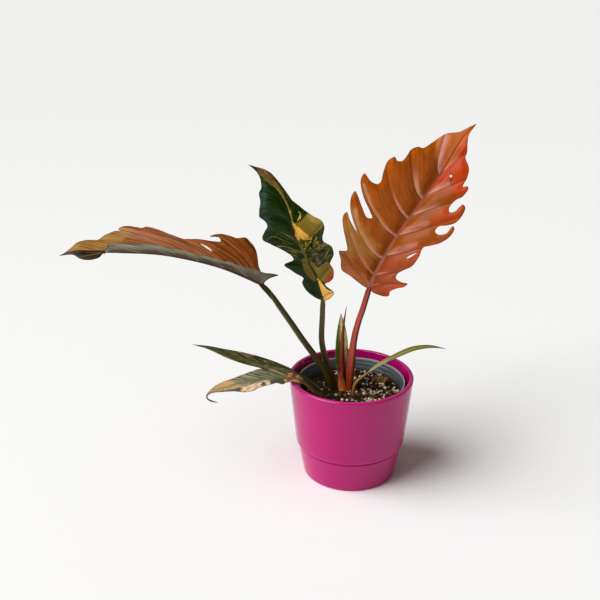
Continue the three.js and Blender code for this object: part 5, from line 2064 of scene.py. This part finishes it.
@dataclass
class Studio:
    """A pale floor, soft light from the left front, and the camera at the photo's place."""

    lens: float = 52.0
    camera_place: Point3 = (-0.0576, -0.8763, 0.5566)  # metres
    camera_tilt: float = 68.4  # degrees from looking straight down
    floor_size: float = 60.0  # metres
    floor_colour: str = "#F7F7F6"
    sky_colour: str = "#FFF4EA"
    sky_strength: float = 0.16
    softbox_place: Point3 = (-1.7, -0.9, 1.5)  # metres
    softbox_size: float = 0.6  # metres
    softbox_power: float = 5.5  # watts
    sun_from: Point3 = (-1.2, -0.35, 1.3)
    sun_strength: float = 3.55
    sun_angle: float = 55.0  # degrees across, so that its shadows are very soft
    sun_colour: Point3 = (0.97, 0.985, 1.0)  # in linear light
    target: Point3 = (-0.06, 0.0, 0.2)  # where the lights look, in metres
    sight: float = 200.0  # how far the camera sees, in metres

    def build(self) -> None:
        """Builds the floor, the lights and the camera."""
        bpy.context.scene.view_settings.view_transform = "Standard"
        bpy.ops.object.select_all(action="DESELECT")
        bpy.ops.mesh.primitive_plane_add(size=self.floor_size)
        floor = bpy.context.object
        floor.name = "studio_floor"
        floor.data.materials.append(start_material(
            "matte paper floor", Base_Color=linear(self.floor_colour), Roughness=0.9,
            Specular_IOR_Level=0.1)[0])

        world = bpy.data.worlds.new("studio")
        world.use_nodes = True
        sky = world.node_tree.nodes["Background"]
        feed(world.node_tree, sky, {"Color": linear(self.sky_colour), "Strength": self.sky_strength})
        bpy.context.scene.world = world

        target = Vector(self.target)
        softbox = bpy.data.lights.new("softbox", "AREA")
        softbox.shape = "SQUARE"
        softbox.size = self.softbox_size
        softbox.energy = self.softbox_power
        sun = bpy.data.lights.new("soft_key", "SUN")
        sun.energy = self.sun_strength
        sun.angle = math.radians(self.sun_angle)
        sun.color = self.sun_colour
        for light, place in ((softbox, Vector(self.softbox_place)),
                             (sun, target + Vector(self.sun_from) * 2)):
            lamp = bpy.data.objects.new(light.name, light)
            lamp.location = place
            lamp.rotation_euler = (target - place).to_track_quat("-Z", "Y").to_euler()
            bpy.context.scene.collection.objects.link(lamp)

        camera = bpy.data.cameras.new("camera")
        camera.lens = self.lens
        camera.clip_end = self.sight
        eye = bpy.data.objects.new("camera", camera)
        eye.location = self.camera_place
        eye.rotation_euler = (math.radians(self.camera_tilt), 0, 0)
        bpy.context.scene.collection.objects.link(eye)
        bpy.context.scene.camera = eye


def main() -> None:
    """Builds the studio and the plant, piece by piece."""
    logging.basicConfig(level=logging.INFO, format="%(name)s: %(message)s")
    Studio().build()
    CoverPot().build()
    NurseryPot().build()
    PottingMix().build()
    dress_stem()
    for leaf in (upright_leaf(), green_leaf(), arching_leaf(), lower_leaf(), upper_small_leaf(),
                 strap_leaf(), young_leaf()):
        leaf.build()
    rolled_leaf().build()
    Sheath().build()


if __name__ == "__main__":
    main()
